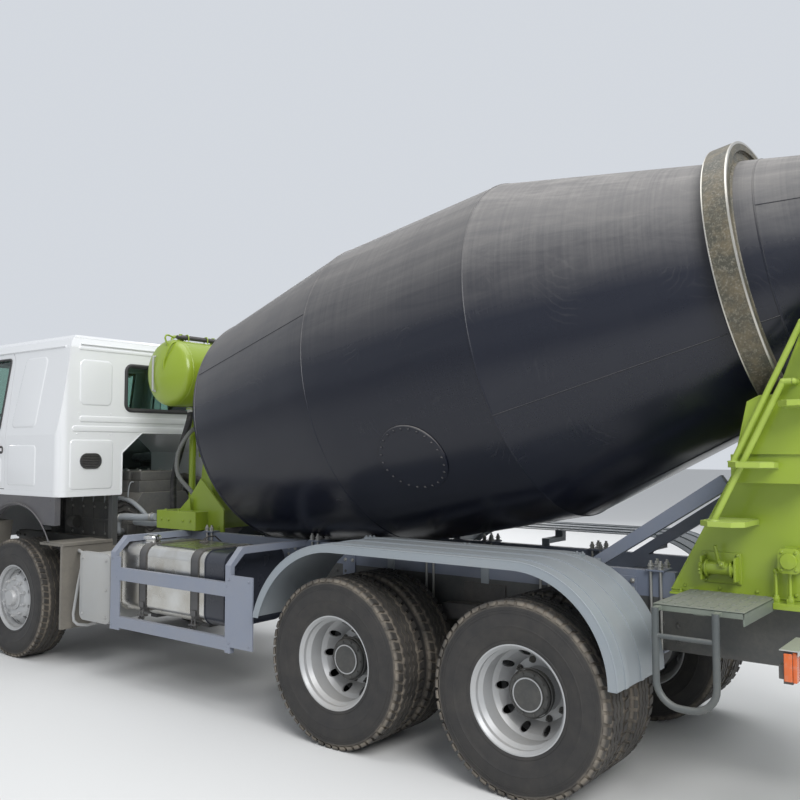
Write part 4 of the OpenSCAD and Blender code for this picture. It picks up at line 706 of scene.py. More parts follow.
# Splash guards: moulded dark liners round the front wheels, with a flat tray on
# top behind the wheel, and non-slip steps ahead of it.
liner_plastic = painted("Liner plastic", (0.15, 0.14, 0.122), gloss=0.6, dust=0.6, reach=1.6, grain=0.2)
dress(liner_plastic, "front_steps")
steps = Shape()
for s in (1, -1):
    for z in (0.555, 0.855):
        for i in range(7):
            steps.block((0.78 + 0.046 * i, s * 1.075 - 0.06, z + 0.005),
                        (0.796 + 0.046 * i, s * 1.075 + 0.06, z + 0.012), 0.002)
    steps.block((-0.775, s * 0.9 - 0.24, 1.08), (-0.45, s * 0.9 + 0.24, 1.0865), 0.003)
    steps.block((-0.8, s * 0.9 - 0.25, 1.062), (-0.786, s * 0.9 + 0.25, 1.094), 0.004)
    for x in (-0.74, -0.62, -0.5):
        steps.bolt((x, s * 1.15, 1.065), (0, s, 0), 0.006)
steps.piece("step_treads", liner_plastic, "root", slot="dark_plastic")

# Exhaust and air intake: an aluminised silencer box with a slotted pipe, and a
# black plastic air cleaner with its duct up the back of the cab.
scorched = painted("Scorched steel", (0.2, 0.18, 0.155), gloss=0.5, dust=0.5, metal=0.7)
black_plastic = painted("Black plastic", (0.03, 0.03, 0.033), gloss=0.55, dust=0.45, reach=1.6, grain=0.2)
dress(scorched, "exhaust")
dress(black_plastic, "air_intake")
bands = Shape()
for x in (-1.48, -1.28, -1.08):
    loop = [(x, -0.82 + u, 0.76 + v) for u, v in round_loop(0.262, 0.242, 0.082)]
    bands.tube(loop + loop[:2], 0.008, 8, ends=False)
bands.lathe([(0.03, 0.0), (0.03, 0.06), (0.034, 0.062), (0.034, 0.075), (0.028, 0.077)],
            tilted((-1.4, -1.07, 0.7), 90, "X"), steps=28)
bands.piece("silencer_bands", scorched, "root", slot="exhaust")
ribs = Shape()
for z in (1.18, 1.26, 1.42, 1.56, 1.64):
    ribs.lathe([(0.168, -0.008), (0.176, -0.004), (0.176, 0.004), (0.168, 0.008)],
               Matrix.Translation((-0.95, -0.8, z)), steps=48)
for i in range(9):
    z = 2.56 + 0.034 * i
    ribs.block((-1.066, -1.045, z), (-0.794, -0.895, z + 0.012), 0.003)
ribs.piece("intake_ribs", black_plastic, "root", slot="intake")

# Mudguards: rolled sheet over the twin wheels with raised ribs and a turned
# outer edge, bolted to brackets on the frame.
mudguard_paint = painted("Mudguard paint", (0.255, 0.29, 0.32), gloss=0.36, dust=0.3)
dress(mudguard_paint, "rear_mudguards")
heads = Shape()
for s in (1, -1):
    for x in (-3.9, -4.7, -5.5):
        for y in (0.65, 0.69):
            for dx in (-0.018, 0.018):
                heads.bolt((x + dx, s * y, 1.3015), (0, 0, 1), 0.007)
    arcs = [[(x + r * math.cos(a), z + r * math.sin(a)) for a in [math.radians(90 + sweep * i / 16)
                                                                  for i in range(17)]]
            for x, z, r, sweep in ((-4.04, 0.56, 0.742, -73), (-5.375, 0.692, 0.61, 89.5))]
    heads.tube([(x, s * 1.247, z) for x, z in arcs[0][::-1] + arcs[1]], 0.0045, 8)
heads.piece("mudguard_edge", mudguard_paint, "root", slot="guard")

# Engine bay: a cast engine, gearbox and shafts in dark grey. Light pipes carry
# the charge air, and hoses and a wiring loom run over the gearbox.
cast_paint = painted("Engine paint", (0.055, 0.06, 0.063), gloss=0.5, dust=0.55, wave=9.0)
pipe_paint = painted("Pipe paint", (0.3, 0.33, 0.36), gloss=0.4, dust=0.45)
engine = Shape()
ENGINE_X, ENGINE_Y, HEADS = (-0.7, 0.52), 0.33, 6
engine.prism([(-0.18, 0.8), (0.18, 0.8), (0.23, 0.95), (ENGINE_Y, 1.02), (ENGINE_Y, 1.4), (0.26, 1.5), (-0.26, 1.5),
              (-ENGINE_Y, 1.4), (-ENGINE_Y, 1.02), (-0.23, 0.95)], ENGINE_X[0], ENGINE_X[1], "X", 0.01)
for i in range(HEADS):
    x = -0.65 + 0.192 * i
    engine.block((x, -0.26, 1.5), (x + 0.178, 0.26, 1.61), 0.006)
    engine.block((x + 0.012, -0.235, 1.605), (x + 0.166, 0.235, 1.706), 0.022)
    for s in (1, -1):
        engine.block((x + 0.07, s * 0.326, 1.04), (x + 0.09, s * 0.338, 1.385), 0.004)
for s in (1, -1):
    engine.block((-0.69, s * 0.326, 1.195), (0.51, s * 0.339, 1.225), 0.004)
engine.lathe([(TIP, -0.002), (0.262, 0.0), (0.268, 0.01), (0.268, 0.04), (0.25, 0.05), (0.205, 0.2), (TIP, 0.202)],
             tilted((-0.7, 0, 1.0), -90, "Y"), steps=56)
engine.block((-1.25, -0.2, 0.79), (-0.89, 0.2, 1.19), 0.03)
for x in (-1.18, -1.09, -1.0):
    engine.block((x - 0.008, -0.212, 0.8), (x + 0.008, 0.212, 1.202), 0.004)
engine.block((-1.15, -0.12, 1.185), (-0.96, 0.12, 1.222), 0.008)
engine.lathe([(TIP, 0.0), (0.175, 0.0), (0.18, 0.008), (0.18, 0.03), (0.168, 0.036), (0.112, 0.34), (0.112, 0.366),
              (TIP, 0.368)], tilted((-1.25, 0, 0.96), -90, "Y"), steps=48)
engine.block((0.64, -0.34, 0.88), (0.76, 0.34, 1.42), 0.008)
for i in range(26):
    y = -0.312 + 0.025 * i
    engine.block((0.632, y - 0.003, 0.905), (0.642, y + 0.003, 1.395))
engine.lathe([(TIP, 0.0), (0.06, 0.0), (0.06, 0.118), (TIP, 0.119)], tilted((0.638, 0, 1.15), -90, "Y"), steps=28)
for i in range(9):
    blade = Matrix.Translation((0.585, 0, 1.15)) @ Matrix.Rotation(math.tau * i / 9, 4, "X")
    engine.block((-0.018, -0.03, 0.05), (-0.013, 0.03, 0.228), 0.002, blade @ Matrix.Rotation(0.5, 4, "Z"))
engine.tube([(-1.615, 0, 0.843), (-3.725, 0, 0.553)], 0.05, 24)
engine.tube([(-4.3, 0, 0.552), (-5.14, 0, 0.552)], 0.045, 24)
engine_casting = engine.piece("engine_casting", cast_paint, "root", smooth=30, slot="driveline")
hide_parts("driveline")


def bent(points, steps=6):
    """A smooth route through points, as a bent pipe takes it."""
    path = [Vector(p) for p in points]
    route = []
    for i in range(len(path) - 1):
        a, b, c, d = path[max(i - 1, 0)], path[i], path[i + 1], path[min(i + 2, len(path) - 1)]
        for k in range(steps):
            u = k / steps
            route.append(b + u * (c - a) / 2 + u * u * (2 * a - 5 * b + 4 * c - d) / 2 + u * u * u
                         * (3 * b - 3 * c + d - a) / 2)
    return route + [path[-1]]


pipes, clips, loom = Shape(), Shape(), Shape()
pipes.tube(bent(((-1.235, 0.5, 1.306), (-1.0, 0.5, 1.29), (-0.78, 0.5, 1.286), (-0.69, 0.5, 1.268),
                 (-0.655, 0.5, 1.2), (-0.64, 0.48, 1.14), (-0.56, 0.42, 1.12), (-0.48, 0.325, 1.12))), 0.032, 16)
pipes.tube(bent(((-1.24, 0.42, 1.24), (-1.05, 0.42, 1.23), (-0.86, 0.415, 1.226), (-0.76, 0.38, 1.226),
                 (-0.7, 0.325, 1.226))), 0.024, 16)
pipes.tube(bent(((-0.86, 0.15, 1.18), (-0.86, 0.28, 1.23), (-0.82, 0.34, 1.33), (-0.64, 0.35, 1.42),
                 (-0.42, 0.325, 1.44))), 0.022, 14)
for x, y, z, r in ((-1.18, 0.5, 1.302, 0.036), (-0.7, 0.5, 1.272, 0.037), (-1.19, 0.42, 1.238, 0.028)):
    clips.lathe([(r, -0.01), (r + 0.003, -0.008), (r + 0.003, 0.008), (r, 0.01)], tilted((x, y, z), 90, "Y"),
                steps=24)
    clips.bolt((x, y, z + r), (0, 0, 1), 0.006)
for k in range(3):
    y = 0.25 + 0.034 * k
    loom.tube(bent(((-1.3, y, 1.1), (-1.18, y + 0.02, 1.17 + 0.02 * k), (-1.02, y + 0.05, 1.19),
                    (-0.9, y + 0.06, 1.15 + 0.03 * k), (-0.78, y + 0.04, 1.2), (-0.69, y, 1.26 + 0.05 * k))), 0.011,
              8)
    loom.tube(bent(((-0.68, 0.33, 1.3 + 0.05 * k), (-0.56, 0.345, 1.33 + 0.06 * k), (-0.42, 0.338, 1.3 + 0.05 * k),
                    (-0.25, 0.335, 1.33 + 0.04 * k))), 0.01, 8)
for k in range(6):
    x = -0.56 + 0.192 * k
    pipes.tube(bent([(x, 0.262, 1.6), (x, 0.3, 1.59), (x, 0.32, 1.52), (x, 0.326, 1.38)]), 0.007, 8)
    for s in (1, -1):
        clips.bolt((x, s * 0.19, 1.7055), (0, 0, 1), 0.012)
        clips.bolt((x - 0.03, s * 0.3295, 1.08), (0, s, 0), 0.01)
        clips.bolt((x - 0.03, s * 0.3295, 1.34), (0, s, 0), 0.01)
for i in range(10):
    a = math.tau * i / 10
    clips.bolt((-0.905, 0.215 * math.cos(a), 1.0 + 0.175 * math.sin(a)), (-1, 0, 0), 0.01)
starter = Shape()
starter.lathe([(TIP, 0.0), (0.046, 0.002), (0.052, 0.012), (0.052, 0.17), (0.044, 0.182), (TIP, 0.184)],
              tilted((-0.56, 0.368, 0.99), 90, "Y"), steps=32)
starter.lathe([(TIP, 0.0), (0.034, 0.002), (0.038, 0.01), (0.038, 0.11), (TIP, 0.116)],
              tilted((-0.54, 0.372, 1.072), 90, "Y"), steps=24)
starter.lathe([(TIP, 0.0), (0.06, 0.002), (0.06, 0.02), (0.056, 0.024), (0.056, 0.11), (0.04, 0.122), (TIP, 0.124)],
              tilted((0.2, 0.38, 1.18), 90, "Y"), steps=32)
pipes.piece("charge_pipes", pipe_paint, "root", slot="guard")
clips.piece("engine_bolts", zinc, "root", slot="driveline")
loom.piece("wiring_loom", black_plastic, "root", slot="dark_plastic")
starter.piece("starter_alternator", cast_paint, "root", slot="driveline")
joints = Shape()
for x, r in ((-1.64, 0.058), (-3.71, 0.07), (-4.345, 0.06), (-5.055, 0.06)):
    place = tilted((x, 0, 0.84 if x == -1.64 else 0.562), 90, "Y")
    joints.lathe([(TIP, -0.012), (r + 0.012, -0.012), (r + 0.012, 0.0), (r, 0.002), (r * 0.8, 0.02), (TIP, 0.022)],
                 place, steps=28)
    for y, z in ring_of(8, r):
        joints.bolt(place @ Vector((y, z, -0.012)), (-1, 0, 0), 0.006)
joints.piece("shaft_joints", iron, "root", slot="driveline")

# Front pedestal and reducer: welded plate in lime green carries the gearbox and
# the hydraulic motor that turn the drum; bolts hold the reducer to its plate.
green_paint = painted("Green paint", (0.265, 0.365, 0.022), gloss=0.32, dust=0.16, coat=0.25, wear=0.2)
dress(green_paint, "front_pedestal", "reducer")
DRUM_TILT, DRUM_Z = math.radians(11), 1.65
DRUM_PLACE = Matrix.Translation((0, 0, DRUM_Z)) @ Matrix.Rotation(DRUM_TILT - math.pi / 2, 4, "Y")

mount = Shape()
for s in (1, -1):
    for x in (-1.7, -1.52, -1.34):
        mount.bolt((x, s * 0.47, SUBFRAME_TOP + 0.17), (0, 0, 1), 0.011)
    for x in (-1.72, -1.62, -1.42, -1.32):
        mount.bolt((x, s * 0.5, SUBFRAME_TOP + 0.09), (0, s, 0), 0.01)
    for x in (-1.94, -1.86, -1.56, -1.48):
        mount.bolt((x, s * 0.365, SUBFRAME_TOP + 0.04), (0, s, 0), 0.011)
    mount.prism([(x, SUBFRAME_TOP + z) for x, z in ((-1.6, 0.17), (-1.44, 0.17), (-1.59, 0.29))], s * 0.4 - 0.004,
                s * 0.4 + 0.004, "Y")
for k, (r, t) in enumerate(((0.215, 1.81), (0.185, 1.99))):
    for x, y in ring_of(14, r, 0.2 * k):
        mount.bolt(DRUM_PLACE @ Vector((x, y, t)), DRUM_PLACE.to_3x3() @ Vector((0, 0, 1)), 0.01)
for x, y in ring_of(12, 0.255, 0.1):
    mount.bolt(DRUM_PLACE @ Vector((x, y, 1.99)), DRUM_PLACE.to_3x3() @ Vector((0, 0, -1)), 0.011)
for x, y in ring_of(8, 0.09, 0.3):
    mount.bolt(DRUM_PLACE @ Vector((x, y, 1.49)), DRUM_PLACE.to_3x3() @ Vector((0, 0, -1)), 0.008)
mount.lathe([(0.2005, 1.835), (0.208, 1.842), (0.208, 1.852), (0.2005, 1.859)], DRUM_PLACE, steps=64)
mount.lathe([(0.2005, 1.9), (0.208, 1.907), (0.208, 1.917), (0.2005, 1.924)], DRUM_PLACE, steps=64)
mount.piece("reducer_bolts", green_paint, "root", slot="green")

# Water tank: rolled sheet with two dished ends and a weld seam at each. Dark bars
# in green loops lie along its top, and a valve pipe hangs at its left end.
TANK_AXIS_X, TANK_AXIS_Z, TANK_R, DISH_R, KNUCKLE = -1.4, 2.612, 0.3, 0.6, 0.075
KNUCKLE_Y = math.sqrt((DISH_R - KNUCKLE) ** 2 - (TANK_R - KNUCKLE) ** 2)
turned = math.asin((TANK_R - KNUCKLE) / (DISH_R - KNUCKLE))
dish = [(max(TIP, DISH_R * math.sin(turned * i / 9)), DISH_R * math.cos(turned * i / 9)) for i in range(10)]
for i in range(1, 11):
    a = turned + (math.pi / 2 - turned) * i / 10
    dish.append((TANK_R - KNUCKLE + KNUCKLE * math.sin(a), KNUCKLE_Y + KNUCKLE * math.cos(a)))
tank, fittings, bars = Shape(), Shape(), Shape()
across = tilted((TANK_AXIS_X, 0, TANK_AXIS_Z), -90, "X")
tank.lathe([(r, -y) for r, y in dish] + [(r, y) for r, y in reversed(dish)], across, steps=96)
for y in (-0.38, 0.0, 0.38):
    tank.lathe([(0.03, 0.27), (0.03, 0.345), (TIP, 0.345)], Matrix.Translation((TANK_AXIS_X, y, TANK_AXIS_Z)),
               steps=28)
tank.tube([(-1.34, -0.43, 2.88), (-1.34, -0.43, 2.935), (-1.34, -0.41, 2.955), (-1.34, 0.41, 2.955),
           (-1.34, 0.43, 2.935), (-1.34, 0.43, 2.88)], 0.013, 12)
for s in (1, -1):
    tank.block((-1.46, s * 0.06, 2.3105), (-1.34, s * 0.185, 2.385), 0.004)
tank_shell = tank.piece("tank_shell", green_paint, "root", smooth=40, slot="green")
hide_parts("water_tank")
for y in (-KNUCKLE_Y + 0.01, KNUCKLE_Y - 0.01):
    fittings.lathe([(TANK_R - 0.001, y - 0.008), (TANK_R + 0.0025, y - 0.004), (TANK_R + 0.0035, y),
                    (TANK_R + 0.0025, y + 0.004), (TANK_R - 0.001, y + 0.008)], across, steps=96)
fittings.tube([(-1.4, y, TANK_AXIS_Z - TANK_R - 0.0005) for y in (-0.46, -0.2, 0.2, 0.46)], 0.004, 6)
for y in (-0.3, -0.08, 0.14, 0.36):
    loop = [(-1.49, y, 2.905), (-1.49, y, 2.948), (-1.478, y, 2.962), (-1.452, y, 2.962), (-1.44, y, 2.948),
            (-1.44, y, 2.912)]
    fittings.tube(loop, 0.006, 8)
fittings.tube(bent(((-1.43, 0.535, 2.83), (-1.43, 0.565, 2.89), (-1.43, 0.575, 2.925), (-1.43, 0.55, 2.948),
                    (-1.43, 0.47, 2.93))), 0.008, 10)
fittings.tube(bent(((-1.5, 0.455, 2.88), (-1.5, 0.53, 2.88), (-1.49, 0.572, 2.835), (-1.45, 0.6, 2.7),
                    (-1.44, 0.59, 2.61))), 0.0085, 10)
for y in (-0.38, 0.0, 0.38):
    cap = Matrix.Translation((-1.4, y, 2.945))
    fittings.lathe([(0.03, 0.0), (0.046, 0.002), (0.046, 0.014), (0.04, 0.018), (0.016, 0.02), (0.016, 0.03),
                    (TIP, 0.032)], cap, steps=32)
fittings.lathe([(0.026, -0.03), (0.026, 0.012), (0.04, 0.014), (0.04, 0.026), (TIP, 0.028)],
               tilted((-1.4, 0.25, 2.312), 180, "X"), steps=24)
for s in (1, -1):
    for x in (-1.445, -1.355):
        fittings.bolt((x, s * 0.16, 2.3105), (0, 0, 1), 0.009)
bars.tube([(-1.465, -0.48, 2.934), (-1.465, 0.47, 2.934)], 0.018, 12)
bars.tube([(-1.463, -0.44, 2.951), (-1.463, 0.42, 2.951)], 0.008, 10)
fittings.piece("water_fittings", green_paint, "root", slot="green")
bars.piece("tank_top_bars", black_plastic, "root", slot="dark_plastic")
sight = Shape()
sight.tube(bent(((-1.29, 0.53, 2.44), (-1.29, 0.585, 2.45), (-1.29, 0.597, 2.48), (-1.29, 0.597, 2.73),
                 (-1.29, 0.585, 2.757), (-1.29, 0.53, 2.765))), 0.009, 10)
sight.piece("sight_tube", plate_paint, "root", slot="box")

# Hoses: the black suction hose is wound with a spiral and runs from under the
# tank to the frame; the grey braided oil lines run from the motor to the pump.


def stripes(tree, place, scale, direction, distortion=0.0):
    """The socket of a pattern of bands across a direction."""
    return add(tree, "ShaderNodeTexWave", {"Vector": place, "Scale": scale, "Distortion": distortion},
               wave_type="BANDS", bands_direction=direction).outputs["Fac"]


hose_rubber, tree, skin = new_material("Wound hose")
place = spot_on(tree)
turns = stripes(tree, place, 22.0, "Z", 0.6)
scuffs = noise(tree, place, 24.0, 6.0)
scuffed = ramp(tree, scuffs, 0.5, 0.75, 0.0, 0.5)
feed(skin, {"Base Color": mix_colours(tree, scuffed, colour(0.022, 0.022, 0.024), colour(0.12, 0.11, 0.1)),
            "Roughness": 0.6, "Normal": relief(tree, turns, 0.004, 0.7)})
braid_rubber, tree, skin = new_material("Braided hose")
place = spot_on(tree)
one_way = stripes(tree, place, 60.0, "DIAGONAL", 0.4)
flip = add(tree, "ShaderNodeMapping", {"Vector": place, "Scale": (1.0, -1.0, 1.0)})
other_way = stripes(tree, flip.outputs[0], 60.0, "DIAGONAL", 0.4)
braid = maths(tree, "MAXIMUM", one_way, other_way)
feed(skin, {"Base Color": mix_colours(tree, braid, colour(0.06, 0.062, 0.06), colour(0.2, 0.205, 0.195)),
            "Roughness": 0.55, "Normal": relief(tree, braid, 0.001, 0.6)})
SUCTION = [(-1.4, 0.25, 2.306), (-1.4, 0.25, 2.26), (-1.36, 0.25, 2.14), (-1.24, 0.24, 1.9), (-1.12, 0.215, 1.65),
           (-1.1, 0.2, 1.44), (-1.1, 0.2, 1.2315)]
OIL = [(-1.3726, 0.04, 1.981), (-1.362, 0.06, 2.04), (-1.42, 0.22, 2.11), (-1.4, 0.33, 1.99), (-1.335, 0.345, 1.85),
       (-1.35, 0.345, 1.68), (-1.5, 0.3, 1.52), (-1.53, 0.29, 1.45), (-1.53, 0.29, 1.372)]
ends = Shape()
for name, route, radius, finish in (("suction_hose", SUCTION, 0.03, hose_rubber),
                                    ("oil_hose", OIL, 0.02, braid_rubber)):
    path = bent(route, 4)
    line = Shape()
    line.tube(path, radius, 20)
    run = line.piece(name, finish, "root", smooth=60, slot="hose")
    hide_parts("hoses")
    length = sum((b - a).length for a, b in zip(path, path[1:]))
    world_path = [(FRONT_AXLE_X + p.x, p.y, p.z) for p in path]
    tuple(world_path[0])
    for p, q in ((path[0], path[1]), (path[-1], path[-2])):
        place = Matrix.Translation(p) @ (q - p).to_track_quat("Z", "Y").to_matrix().to_4x4()
        ends.lathe([(radius + 0.0005, 0.0), (radius + 0.006, 0.001), (radius + 0.006, 0.045),
                    (radius + 0.002, 0.048), (radius + 0.0005, 0.048)], place, steps=24)
        ends.lathe([(radius + 0.01, 0.006), (radius + 0.011, 0.008), (radius + 0.011, 0.018), (radius + 0.01, 0.02),
                    (radius + 0.004, 0.02), (radius + 0.004, 0.006)], place, steps=6, closed=True)
ends.piece("hose_ferrules", zinc, "root", slot="strap")

# Drum: rolled steel plates welded into a dished head, a front cone, a belly and
# a rear cone. Gloss black-navy paint over it, dulled by dried cement dust that
# the rain and the hose have wiped into long streaks and swirls. The film grows
# towards the top: partly settled dust, partly a painted lighter top that stands
# in for sky light.
FLANGE_T, HEAD_T, BELLY_T0, BELLY_T1, MOUTH_T = 2.11, 2.4, 3.79, 5.14, 7.65
FLANGE_R, HEAD_R, BELLY_R, MOUTH_R, HEAD_CENTRE = 0.3, 0.98, 1.18, 0.45, 4.015
SEAM_T, BAND_T, PLATE = 6.72, 7.59, 0.008
HEAD_ROUND = math.hypot(HEAD_R, HEAD_T - HEAD_CENTRE)
CONE_SLOPE = (BELLY_R - MOUTH_R) / (MOUTH_T - BELLY_T1)


def drum_radius(t):
    """The outer radius of the shell at a place along its axis."""
    if t < HEAD_T:
        return math.sqrt(max(0.0, HEAD_ROUND ** 2 - (t - HEAD_CENTRE) ** 2))
    if t < BELLY_T0:
        return HEAD_R + (BELLY_R - HEAD_R) * (t - HEAD_T) / (BELLY_T0 - HEAD_T)
    if t < BELLY_T1:
        return BELLY_R
    return BELLY_R - CONE_SLOPE * (t - BELLY_T1)


def on_drum(t, angle, lift=0.0):
    """A point on the shell; the angle is counted from the top towards the left, in degrees."""
    r, a = drum_radius(t) + lift, math.radians(angle)
    return DRUM_PLACE @ Vector((r * math.cos(a), r * math.sin(a), t))


drum_paint, tree, skin = new_material("Drum paint")
place = spot_on(tree)
origin = (Matrix.Translation((FRONT_AXLE_X, 0, 0)) @ DRUM_PLACE).inverted()
turn = origin.to_euler()
local = add(tree, "ShaderNodeMapping", {"Vector": place, "Location": origin.translation, "Rotation": turn},
            vector_type="POINT")
streak_map = add(tree, "ShaderNodeMapping", {"Vector": local.outputs[0], "Scale": (5.0, 5.0, 0.35)})
streaks = noise(tree, streak_map.outputs[0], 1.6, 9.0, 0.7, 0.6)
ring_map = add(tree, "ShaderNodeMapping", {"Vector": local.outputs[0], "Scale": (0.35, 0.35, 24.0)})
rubs = noise(tree, ring_map.outputs[0], 2.0, 8.0, 0.72, 0.3)
swirl_map = noise(tree, local.outputs[0], 3.4, 5.0)
centres = add(tree, "ShaderNodeTexVoronoi", {"Vector": local.outputs[0], "Scale": 0.85})
wander = noise(tree, local.outputs[0], 5.0, 3.0)
drift = maths(tree, "MULTIPLY", wander, 0.1)
reach = maths(tree, "ADD", centres.outputs["Distance"], drift)
steps = maths(tree, "MULTIPLY", reach, 210.0)
rings = maths(tree, "SINE", steps)
swirls = ramp(tree, rings, 0.6)
where = ramp(tree, swirl_map, 0.57, 0.72)
wiped = maths(tree, "MULTIPLY", swirls, where)
long_dust = ramp(tree, streaks, 0.36, 0.8)
cross_dust = ramp(tree, rubs, 0.2, 1.0)
# The film is thickest on faces that look up and nearly gone underneath: partly dust that settles, partly painted
# top light standing in for the sky's light on the drum's top. It carries through dust_mask into the colour.
facing = add(tree, "ShaderNodeNewGeometry")
upward = add(tree, "ShaderNodeSeparateXYZ", {"Vector": facing.outputs["Normal"]})
settled_dust_and_top_light = ramp(tree, upward.outputs["Z"], 0.06, 0.98, 0.025, 1.25)
film = maths(tree, "ADD", long_dust, cross_dust)
film_low = maths(tree, "ADD", film, 0.6)
film_and_top_light = maths(tree, "MULTIPLY", film_low, settled_dust_and_top_light)
thin_film_and_top_light = maths(tree, "MULTIPLY", film_and_top_light, 0.33)
marks = maths(tree, "MULTIPLY", wiped, 0.03)
dust_mask = maths(tree, "ADD", thin_film_and_top_light, marks, clamp=True)
feed(skin, {"Base Color": mix_colours(tree, dust_mask, colour(0.0042, 0.0062, 0.015), colour(0.38, 0.36, 0.335)),
            "Roughness": ramp(tree, dust_mask, 0.0, 0.35, 0.23, 0.62)})
plate = noise(tree, local.outputs[0], 1.7)
orange_peel = noise(tree, local.outputs[0], 160.0)
peel = maths(tree, "MULTIPLY", orange_peel, 0.012)
uneven = maths(tree, "ADD", plate, peel)
feed(skin, {"Specular IOR Level": 0.42, "Normal": relief(tree, uneven, 0.02)})

shell = Shape()
head = [(drum_radius(t), t) for t in [FLANGE_T + 0.04 + (HEAD_T - 0.012 - FLANGE_T - 0.04) * i / 14
                                      for i in range(15)]]
outer = [(TIP, FLANGE_T), (FLANGE_R, FLANGE_T), (FLANGE_R, FLANGE_T + 0.038)] + head
outer += [(HEAD_R - 0.001, HEAD_T), (drum_radius(HEAD_T + 0.012), HEAD_T + 0.012)]
outer += [(drum_radius(t), t) for t in (2.7, 3.0, 3.3, 3.6, BELLY_T0, 4.05, 4.3, 4.6, 4.9, BELLY_T1, 5.4, 5.8, 6.2,
                                        6.6, 7.0, 7.4)]
outer += [(drum_radius(BAND_T), BAND_T), (MOUTH_R + 0.026, BAND_T), (MOUTH_R + 0.026, MOUTH_T)]
outer += [(MOUTH_R - PLATE, MOUTH_T)]
outer += [(drum_radius(t) - PLATE, t) for t in (7.0, 6.0, BELLY_T1, BELLY_T0 + PLATE, 3.0, HEAD_T + PLATE)]
outer += [(r - 0.002, t + 0.01) for r, t in reversed(head[1:-1])] + [(TIP, FLANGE_T + 0.048)]
shell.lathe(outer, DRUM_PLACE, steps=192)
drum_skin = shell.piece("drum_skin", drum_paint, "drum", smooth=12, slot="drum")
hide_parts("drum_shell")

# Weld beads: thin raised lines where the rolled plates meet, round the shell
# and along it, under the same paint.
beads = Shape()
for t in (BELLY_T0, BELLY_T1, SEAM_T):
    r = drum_radius(t)
    beads.lathe([(r - 0.002, t - 0.007), (r + 0.0022, t - 0.004), (r + 0.003, t), (r + 0.0022, t + 0.004),
                 (r - 0.002, t + 0.007)], DRUM_PLACE, steps=192)
for t0, t1, angles in ((HEAD_T + 0.01, BELLY_T0, (65, 185, 305)), (BELLY_T0, BELLY_T1, (20, 200)),
                       (BELLY_T1, SEAM_T, (116.5, 172, 296.5)), (SEAM_T, BAND_T - 0.01, (66, 246))):
    for angle in angles:
        beads.tube([on_drum(t0 + (t1 - t0) * i / 8, angle, 0.0008) for i in range(9)], 0.0032, sides=6)
rim_r = drum_radius(HEAD_T)
beads.lathe([(rim_r - 0.012, HEAD_T - 0.02), (rim_r + 0.004, HEAD_T - 0.01), (rim_r + 0.004, HEAD_T + 0.006),
             (rim_r - 0.004, HEAD_T + 0.012)], DRUM_PLACE, steps=192)
beads.piece("drum_welds", drum_paint, "drum", slot="drum")

# Manhole: a round steel cover plate on the belly, low on the left side. It
# follows the shell and is held by a ring of bolts.
HATCH_T, HATCH_ANGLE, HATCH_R, HATCH_BOLTS_R = 4.46, 124.0, 0.245, 0.222
hatch = Shape()
around = 72
rings = []
for r, lift in ((0.0, 0.014), (0.1, 0.014), (0.19, 0.014), (HATCH_R - 0.004, 0.014), (HATCH_R, 0.01),
                (HATCH_R, -0.004)):
    ring = []
    for i in range(around):
        a = math.tau * i / around
        turn_deg = math.degrees(r * math.sin(a) / BELLY_R)
        ring.append(on_drum(HATCH_T + r * math.cos(a), HATCH_ANGLE + turn_deg, lift))
    rings.append(hatch.points(ring))
hatch.join(rings)
for i in range(24):
    a = math.tau * (i + 0.5) / 24
    t, turn_deg = HATCH_T + HATCH_BOLTS_R * math.cos(a), math.degrees(HATCH_BOLTS_R * math.sin(a) / BELLY_R)
    spot = on_drum(t, HATCH_ANGLE + turn_deg, 0.013)
    hatch.bolt(spot, spot - DRUM_PLACE @ Vector((0, 0, t)), 0.008)
hatch.piece("manhole_cover", drum_paint, "drum", slot="drum")

# Roller ring and rollers: a rolled steel tyre on two webs, dark with rust and
# grease, its edges polished by the thrust rollers; the rollers are turned steel.
ring_steel, tree, skin = new_material("Ring steel")
place = spot_on(tree)
coarse = noise(tree, place, 9.0, 9.0, 0.7)
fine = noise(tree, place, 75.0, 6.0, 0.75)
rusty = ramp(tree, coarse, 0.42, 0.62)
speck = ramp(tree, fine, 0.5, 0.66)
ground = mix_colours(tree, rusty, colour(0.052, 0.05, 0.036), colour(0.12, 0.098, 0.06))
specked = mix_colours(tree, speck, ground, colour(0.2, 0.185, 0.145))
edges = add(tree, "ShaderNodeGroup", {"Radius": 0.007}, node_tree=worn_edge).outputs
polished = maths(tree, "MULTIPLY", edges["Worn"], 1.0, clamp=True)
feed(skin, {"Base Color": mix_colours(tree, polished, specked, colour(0.62, 0.6, 0.55)), "Roughness": 0.5,
            "Metallic": polished, "Normal": relief(tree, fine, 0.0015, 0.6, edges["Normal"])})
dress(ring_steel, "drum_ring", "drum_blades", "roller_left", "roller_right")
RING_T, RING_R, RING_W, ROLLER_R, ROLLER_Y = 6.56, 0.865, 0.14, 0.13, 0.545
ring_wear = Shape()
for t0, t1 in ((RING_T + RING_W / 2 - 0.01, RING_T + RING_W / 2 + 0.0008),
               (RING_T - RING_W / 2 - 0.0008, RING_T - RING_W / 2 + 0.006)):
    ring_wear.lathe([(RING_R - 0.014, t0), (RING_R + 0.0006, t0), (RING_R + 0.0006, t1), (RING_R - 0.014, t1)],
                    DRUM_PLACE, steps=180, closed=True)
bright_steel = painted("Polished edge", (0.52, 0.5, 0.45), gloss=0.3, dust=0.25, metal=0.9, edge=0.001)
ring_wear.piece("ring_edges", bright_steel, "drum", smooth=20, slot="ring")
ring_welds = Shape()
